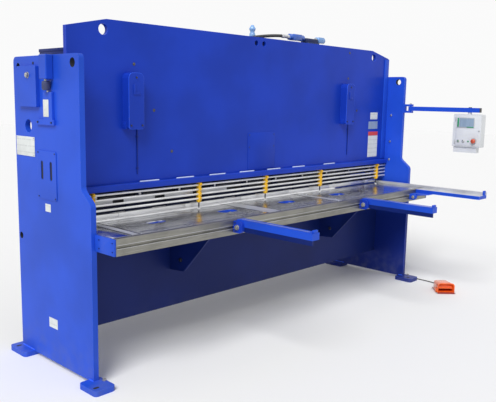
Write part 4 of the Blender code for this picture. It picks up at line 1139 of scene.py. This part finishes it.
def pendant_details():
    face = PENDANT_X - 0.035
    low, high = -0.622, -0.388
    door = prism([(low + 0.006, 1.197), (high - 0.026, 1.197), (high - 0.026, 1.441), (low + 0.006, 1.441)], "X",
                 face - 0.0032, face - 0.0003, 0.001)
    stop = drum(at(face - 0.006, STOP_Y, STOP_Z), at(face + 0.004, STOP_Y, STOP_Z), 0.0126, 0, 32)
    cut(door, stop, *[drum(at(face - 0.006, y, BUTTON_Z), at(face + 0.004, y, BUTTON_Z), 0.0082, 0, 28)
                      for y in (START_BUTTON_Y, STOP_BUTTON_Y)])
    piece("control_box_door", "control_box", "pale", door, slot="pale_paint")
    hinges = [drum(at(face - 0.003, high - 0.021, z), at(face - 0.003, high - 0.021, z + 0.028), 0.004, 0.0006, 24)
              for z in (1.215, 1.395)]
    piece("control_box_hinges", "control_box", "pale_grey", *hinges)
    bezel = prism([(-0.568, 1.341), (-0.421, 1.341), (-0.421, 1.422), (-0.568, 1.422)], "X", face - 0.0062,
                  face - 0.0030, 0.001)
    piece("screen_bezel", "control_box", "pale_grey", bezel)
    piece("screen_field", "control_box", "screen",
          block(at(face - 0.0070, -0.562, 1.347), at(face - 0.0060, -0.443, 1.416), 0.0003, 1))
    piece("screen_keys", "control_box", "green",
          block(at(face - 0.0074, -0.4385, 1.347), at(face - 0.0060, -0.4255, 1.416), 0.0005),
          block(at(face - 0.0080, -0.562, 1.3435), at(face - 0.0066, -0.505, 1.3500), 0.0005))
    ring = revolve([(0.0128, 0.0), (0.0128, 0.0024), (0.0245, 0.0018), (0.0245, 0.0)],
                   at(face - 0.0032, STOP_Y, STOP_Z), LEFT, 48)
    piece("stop_ring", "control_box", "pale_grey", ring)
    mushroom = revolve([(0.0, 0.0305), (0.007, 0.0300), (0.0135, 0.0280), (0.0178, 0.0242), (0.0186, 0.0205),
                        (0.0180, 0.0150), (0.0150, 0.0132), (0.0113, 0.0120), (0.0113, -0.003), (0.0, -0.003)],
                       at(face, STOP_Y, STOP_Z), LEFT)
    piece("stop_mushroom_head", "stop_mushroom", "red", mushroom, slot="red_plastic", replaces=["emergency_stop"])
    buttons = (("start", START_BUTTON_Y, "green_cap", "green_plastic"),
               ("stop", STOP_BUTTON_Y, "button_grey", "grey_plastic"))
    for name, y, finish, slot in buttons:
        collar = revolve([(0.0112, 0.0003), (0.0112, 0.0028), (0.0098, 0.0040), (0.0079, 0.0040), (0.0079, 0.0003)],
                         at(face - 0.0030, y, BUTTON_Z), LEFT, 40)
        piece(f"{name}_collar", "control_box", "zinc", collar)
        cap = revolve([(0.0, 0.0078), (0.0045, 0.0076), (0.0066, 0.0068), (0.0071, 0.0055), (0.0071, -0.003),
                       (0.0, -0.003)], at(face, y, BUTTON_Z), LEFT, 40)
        piece(f"{name}_cap", f"{name}_push", finish, cap, slot=slot, replaces=[f"{name}_button"])
    lamp = revolve([(0.0, 0.0045), (0.0045, 0.0040), (0.0062, 0.0022), (0.0068, 0.0)],
                   at(face - 0.0032, -0.523, BUTTON_Z), LEFT, 32)
    piece("ready_lamp", "control_box", "green", lamp)
    louvres = [block(at(PENDANT_X + 0.0355, -0.600, z), at(PENDANT_X + 0.0367, -0.410, z + 0.006), 0.0004, 1)
               for z in (1.220, 1.250, 1.280, 1.310, 1.340, 1.370)]
    piece("control_box_louvres", "control_box", "pale_grey", *louvres)
    piece("door_latch", "control_box", "zinc",
          drum(at(face - 0.0032, low + 0.014, 1.319), at(face - 0.0075, low + 0.014, 1.319), 0.0048, 0.0005, 28))
    piece("arm_end_cap", "control_arm", "black",
          block(at(PENDANT_X - 0.0175, -0.5925, 1.4625), at(PENDANT_X + 0.0175, -0.5895, 1.4975), 0.0008),
          drum(at(PENDANT_X, -0.505, 1.4982), at(PENDANT_X, -0.505, 1.5030), 0.0130, 0.001, 32))
    screws("pendant_pivot_nut", "machine", [at(PENDANT_X, 0.025, 1.5165)], UP, 0.0095, "zinc")
    screws("pendant_bracket_screws", "machine", [at(PENDANT_X + 0.0162, 0.078, z) for z in (1.456, 1.504)], RIGHT,
           0.004, "zinc", cap_screw)


# ---------------------------------------------------------------- hydraulics

TANK_TOP = 1.7856
MOTOR_PLACE = (1.240, 0.430, 1.870)
MOTOR_FINS = 32


def turned_about_motor(thing, angle):
    """Turns a shape about the motor's shaft."""
    shaft = at(*MOTOR_PLACE)
    thing.data.transform(Matrix.Translation(shaft) @ Matrix.Rotation(angle, 4, "X") @ Matrix.Translation(-shaft))
    return thing


def make_motor():
    """A finned motor lying along the tank, with its fan cowl, terminal box, coupling and pump."""
    x, y, z = MOTOR_PLACE
    shapes = [revolve([(0.0, 0.0), (0.040, 0.0), (0.045, -0.004), (0.045, -0.056), (0.076, -0.062), (0.078, -0.078),
                       (0.070, -0.082), (0.070, -0.262), (0.078, -0.266), (0.080, -0.272), (0.080, -0.318),
                       (0.070, -0.329), (0.0, -0.329)], at(x, y, z), RIGHT, 56)]
    for k in range(MOTOR_FINS):
        turn = 2 * math.pi * k / MOTOR_FINS
        if abs(math.sin(turn) + 1) < 0.25:
            continue
        fin = block(at(x - 0.260, y - 0.0012, z + 0.066), at(x - 0.084, y + 0.0012, z + 0.080), 0.0004, 1)
        shapes.append(turned_about_motor(fin, turn))
    shapes.append(block(at(x - 0.250, y - 0.055, TANK_TOP), at(x - 0.110, y + 0.055, z - 0.062), 0.002))
    shapes.append(block(at(x - 0.215, y - 0.030, z + 0.070), at(x - 0.135, y + 0.030, z + 0.0815), 0.002))
    piece("motor_body", "machine", "grey", *shapes, slot="grey_paint", replaces=["pump_motor"])
    # The fan cowl's slots are thin black shapes: painted shade for their insides.
    slots = []
    for k in range(10):
        slot = block(at(x - 0.3302, y - 0.0025, z + 0.022), at(x - 0.3288, y + 0.0025, z + 0.058), 0)
        slots.append(turned_about_motor(slot, 2 * math.pi * k / 10))
    piece("motor_fan_slots", "machine", "hole", *slots)
    screws("motor_foot_bolts", "machine", [at(1.262, y - 0.030, TANK_TOP), at(1.262, y + 0.030, TANK_TOP)], UP, 0.007,
           "zinc")
    pump = [block(at(1.2405, y - 0.042, z - 0.046), at(1.300, y + 0.042, z + 0.046), 0.004),
            drum(at(1.300, y, z), at(1.335, y, z), 0.034, 0.003),
            drum(at(1.270, y, z - 0.046), at(1.270, y, TANK_TOP), 0.016, 0.001)]
    piece("gear_pump", "machine", "turned", *pump)
    screws("pump_cap_screws", "machine",
           [at(1.300, y + a * 0.031, z + b * 0.034) for a in (-1, 1) for b in (-1, 1)], RIGHT, 0.006, "dark_bolt",
           cap_screw)


def make_valves():
    y, z = 0.420, 2.001
    piece("valve_manifold", "machine", "valve_body",
          block(at(2.202, y - 0.044, TANK_TOP), at(2.338, y + 0.044, 1.975), 0.002),
          block(at(2.196, y - 0.027, 1.972), at(2.344, y + 0.027, 2.0045), 0.003),
          slot="grey_paint", replaces=["valve_block"])
    piece("valve_coil_left", "machine", "coil_blue",
          drum(at(2.020, y, z), at(2.187, y, z), 0.0235, 0.003),
          block(at(2.050, y - 0.0245, z - 0.0225), at(2.150, y + 0.0245, z + 0.0235), 0.004))
    piece("valve_coil_right", "machine", "coil_light",
          drum(at(2.350, y, z), at(2.444, y, z), 0.0225, 0.003),
          block(at(2.362, y - 0.0240, z - 0.0220), at(2.430, y + 0.0240, z + 0.0225), 0.004))
    piece("valve_tube_nuts", "machine", "zinc",
          drum(at(2.186, y, z), at(2.198, y, z), 0.017, 0.001, 6),
          drum(at(2.342, y, z), at(2.352, y, z), 0.017, 0.001, 6),
          drum(at(2.442, y, z), at(2.455, y, z), 0.013, 0.001, 6))
    piece("hose_end_fitting", "machine", "white",
          drum(at(1.935, y, z), at(1.962, y, z), 0.0150, 0.001, 6),
          drum(at(1.960, y, z), at(2.000, y, z), 0.0130, 0.001),
          drum(at(1.998, y, z), at(2.022, y, z), 0.0165, 0.001, 6))
    screws("manifold_screws", "machine",
           [at(x, y - 0.0442, height) for x in (2.220, 2.320) for height in (1.810, 1.880, 1.950)], FRONT, 0.006,
           "dark_bolt", cap_screw)
    pipes = []
    for x, end in ((2.230, 0.600), (2.310, 2.590)):
        side = -1 if end < x else 1
        route = [(x, y + 0.044, 1.850), (x, 0.500, 1.850), (x, 0.560, 1.850), (x + side * 0.02, 0.594, 1.845),
                 (x + side * 0.06, 0.600, 1.830), (end - side * 0.10, 0.600, 1.820), (end - side * 0.03, 0.600, 1.812),
                 (end, 0.600, 1.780), (end, 0.600, 1.600), (end, 0.590, 1.540), (end, 0.560, 1.512),
                 (end, 0.460, 1.510), (end, 0.446, 1.510)]
        pipes.append(pipe(smooth_route([at(*p) for p in route], 0.02), 0.007, 16))
    piece("cylinder_pipes", "machine", "zinc", *pipes)
    nuts = []
    for end in (0.600, 2.590):
        nuts.append(drum(at(end, 0.443, 1.510), at(end, 0.462, 1.510), 0.0120, 0.001, 6))
    for x in (2.230, 2.310):
        nuts.append(drum(at(x, y + 0.0442, 1.850), at(x, y + 0.062, 1.850), 0.0120, 0.001, 6))
    piece("pipe_nuts", "machine", "brass", *nuts)


HOSE_RADIUS = 0.011
HOSE_ROUTE = (
    (1.420, 0.420, 1.7855), (1.420, 0.420, 1.815), (1.422, 0.419, 1.845), (1.430, 0.416, 1.874),
    (1.448, 0.410, 1.902), (1.476, 0.402, 1.925), (1.515, 0.392, 1.943), (1.565, 0.386, 1.956),
    (1.620, 0.385, 1.966), (1.680, 0.388, 1.975), (1.740, 0.396, 1.983), (1.800, 0.406, 1.990),
    (1.860, 0.414, 1.996), (1.920, 0.419, 2.000), (1.960, 0.420, 2.001), (1.9995, 0.420, 2.001),
)


def make_hose():
    line = smooth_route([at(*p) for p in HOSE_ROUTE], 0.010)
    hose = tube(line, HOSE_RADIUS, 5)
    hose.name = "pressure_hose_line"
    hose.data.materials.append(MATERIALS["hose"])
    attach(hose, "machine")
    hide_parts("pressure_hose")
    length = sum((b - a).length for a, b in zip(line, line[1:]))


def tank_details():
    """The tank's shell, breather, lids, sight glass and drain, and dark discs behind the front plate's two holes as
    painted shade.
    """
    cap = revolve([(0.0, 2.0500), (0.009, 2.0495), (0.0125, 2.045), (0.0150, 2.038), (0.0225, 2.028), (0.0235, 2.020),
                   (0.0170, 2.008), (0.0160, 1.998), (0.0215, 1.988), (0.0225, 1.972), (0.0170, 1.966), (0.0150, 1.960),
                   (0.0150, 1.800), (0.0215, 1.797), (0.0215, TANK_TOP), (0.0, TANK_TOP)], at(1.620, 0.420, 0), UP)
    piece("breather_cap", "machine", "coil_light", cap)
    body = block(at(0.060, 0.2813, 1.600), at(3.130, 0.580, 1.785), 0.004)
    rim = block(at(0.058, 0.2813, 1.768), at(3.132, 0.5825, 1.7852), 0.002)
    piece("tank_body", "machine", "night", body, rim, slot="navy_paint", replaces=["oil_tank"])
    # Dark discs behind the front plate's two holes: painted shade seen through them.
    shadow_discs = [drum(at(x, 0.2745, 1.909), at(x, 0.2805, 1.909), 0.0176, 0.001, 40) for x in (1.488, 1.563)]
    piece("front_plate_shadow_discs", "machine", "hole", *shadow_discs)
    piece("hose_foot_fitting", "machine", "zinc",
          drum(at(1.420, 0.420, TANK_TOP), at(1.420, 0.420, 1.800), 0.018, 0.001, 6),
          drum(at(1.420, 0.420, 1.798), at(1.420, 0.420, 1.828), 0.0135, 0.001))
    piece("tank_lids", "machine", "deep",
          block(at(2.420, 0.300, TANK_TOP), at(3.050, 0.560, 1.7900), 0.001),
          block(at(0.160, 0.300, TANK_TOP), at(0.820, 0.560, 1.7900), 0.001))
    places = [at(x, y, 1.7900) for x in (0.180, 0.490, 0.800, 2.440, 2.735, 3.030) for y in (0.315, 0.545)]
    screws("tank_lid_bolts", "machine", places, UP, 0.0065, "zinc")
    piece("sight_glass_frame", "machine", "zinc",
          prism(upright_oblong((1.000, 1.690), 0.075, 0.020), "Y", 0.5803, 0.5880, 0.001))
    piece("sight_glass_tube", "machine", "glass",
          prism(upright_oblong((1.000, 1.690), 0.055, 0.009), "Y", 0.5878, 0.5912, 0.001))
    piece("tank_stiffeners", "machine", "night",
          *[block(at(x - 0.003, 0.5802, 1.602), at(x + 0.003, 0.5850, 1.783), 0.001) for x in (0.5, 1.3, 2.1, 2.9)])
    piece("drain_plug", "machine", "brass", drum(at(2.300, 0.5802, 1.625), at(2.300, 0.592, 1.625), 0.014, 0.001, 6))


# ---------------------------------------------------------------- rear

BLADE_BACK = 0.3702
RAKE_SLOPE = 0.055 / 3.09
SCREW_Z = 0.735


def rear_details():
    """Beam and blade bolts, the bed's ribs, the back gauge's nuts and bearings, and the ram's guide strips."""
    ends = [at(x, 0.7402, z) for x in (0.075, 3.115) for z in (1.44, 1.53)]
    screws("tie_beam_bolts", "machine", ends, REAR, 0.014, "zinc")
    along_blade = [0.150 + 0.300 * k for k in range(10)]
    screws("upper_blade_bolts", "ram", [at(x, BLADE_BACK, 0.905 + RAKE_SLOPE * x) for x in along_blade], REAR, 0.008,
           "dark_bolt", cap_screw)
    rib = [(0.3345, 0.225), (0.3600, 0.225), (0.3900, 0.300), (0.3900, 0.640), (0.3600, 0.700), (0.3345, 0.700)]
    piece("bed_ribs", "machine", "night",
          *[prism(rib, "X", x - 0.006, x + 0.006, 0.001) for x in (0.240, 0.935, 1.375, 1.815, 2.255, 2.950)])
    apron = [at(0.200 + 0.3985 * k, 0.3342, 0.665) for k in range(8)]
    screws("bed_bolts", "machine", apron, REAR, 0.012, "zinc")
    for side, x in (("left", 0.580), ("right", 2.610)):
        body = f"{side}_screw"
        piece(f"{side}_screw_collar", body, "zinc",
              drum(at(x, 1.1190, SCREW_Z), at(x, 1.1270, SCREW_Z), 0.0200, 0.001, 32))
        nut = []
        for front, rear in ((0.7402, 0.7520), (0.6880, 0.6998)):
            solid = drum(at(x, front, SCREW_Z), at(x, rear, SCREW_Z), 0.0240, 0.001, 32)
            nut.append(cut(solid, drum(at(x, front - 0.010, SCREW_Z), at(x, rear + 0.010, SCREW_Z), 0.0140, 0, 32)))
        piece(f"{side}_gauge_nut", "back_gauge", "brass", *nut)
        piece(f"{side}_rail_bearing", "machine", "grey",
              block(at(x - 0.024, 1.1603, 0.712), at(x + 0.024, 1.1660, 0.760), 0.002),
              drum(at(x, 1.1655, SCREW_Z), at(x, 1.1700, SCREW_Z), 0.0160, 0.001, 32))
    piece("gauge_face_strip", "back_gauge", "blade",
          block(at(0.305, 0.6965, 0.797), at(2.885, 0.6998, 0.858), 0.0006, 1))
    screws("gauge_bar_screws", "back_gauge", [at(x, 0.7402, 0.828) for x in (0.545, 0.615, 1.200, 1.990, 2.575, 2.645)],
           REAR, 0.008, "dark_bolt", cap_screw)
    piece("ram_guide_gibs", "machine", "rail",
          *[block(at(x, 0.4105, 0.940), at(x + 0.0170, 0.4500, 1.240), 0.002) for x in (0.0360, 3.1370)])
    screws("gib_screws", "machine", [at(x, 0.4502, z) for x in (0.0445, 3.1455) for z in (0.97, 1.06, 1.15, 1.22)],
           REAR, 0.005, "dark_bolt", cap_screw)


MATERIALS = make_materials()
make_camera()
make_studio().data.materials.append(MATERIALS["floor"])
make_pedal()
make_cable()
finish_frame()
foot_details()
left_side_details()
front_details()
make_table()
guard_details()
hold_down_details()
arm_details()
squaring_details()
pendant_details()
make_motor()
make_valves()
tank_details()
make_hose()
rear_details()
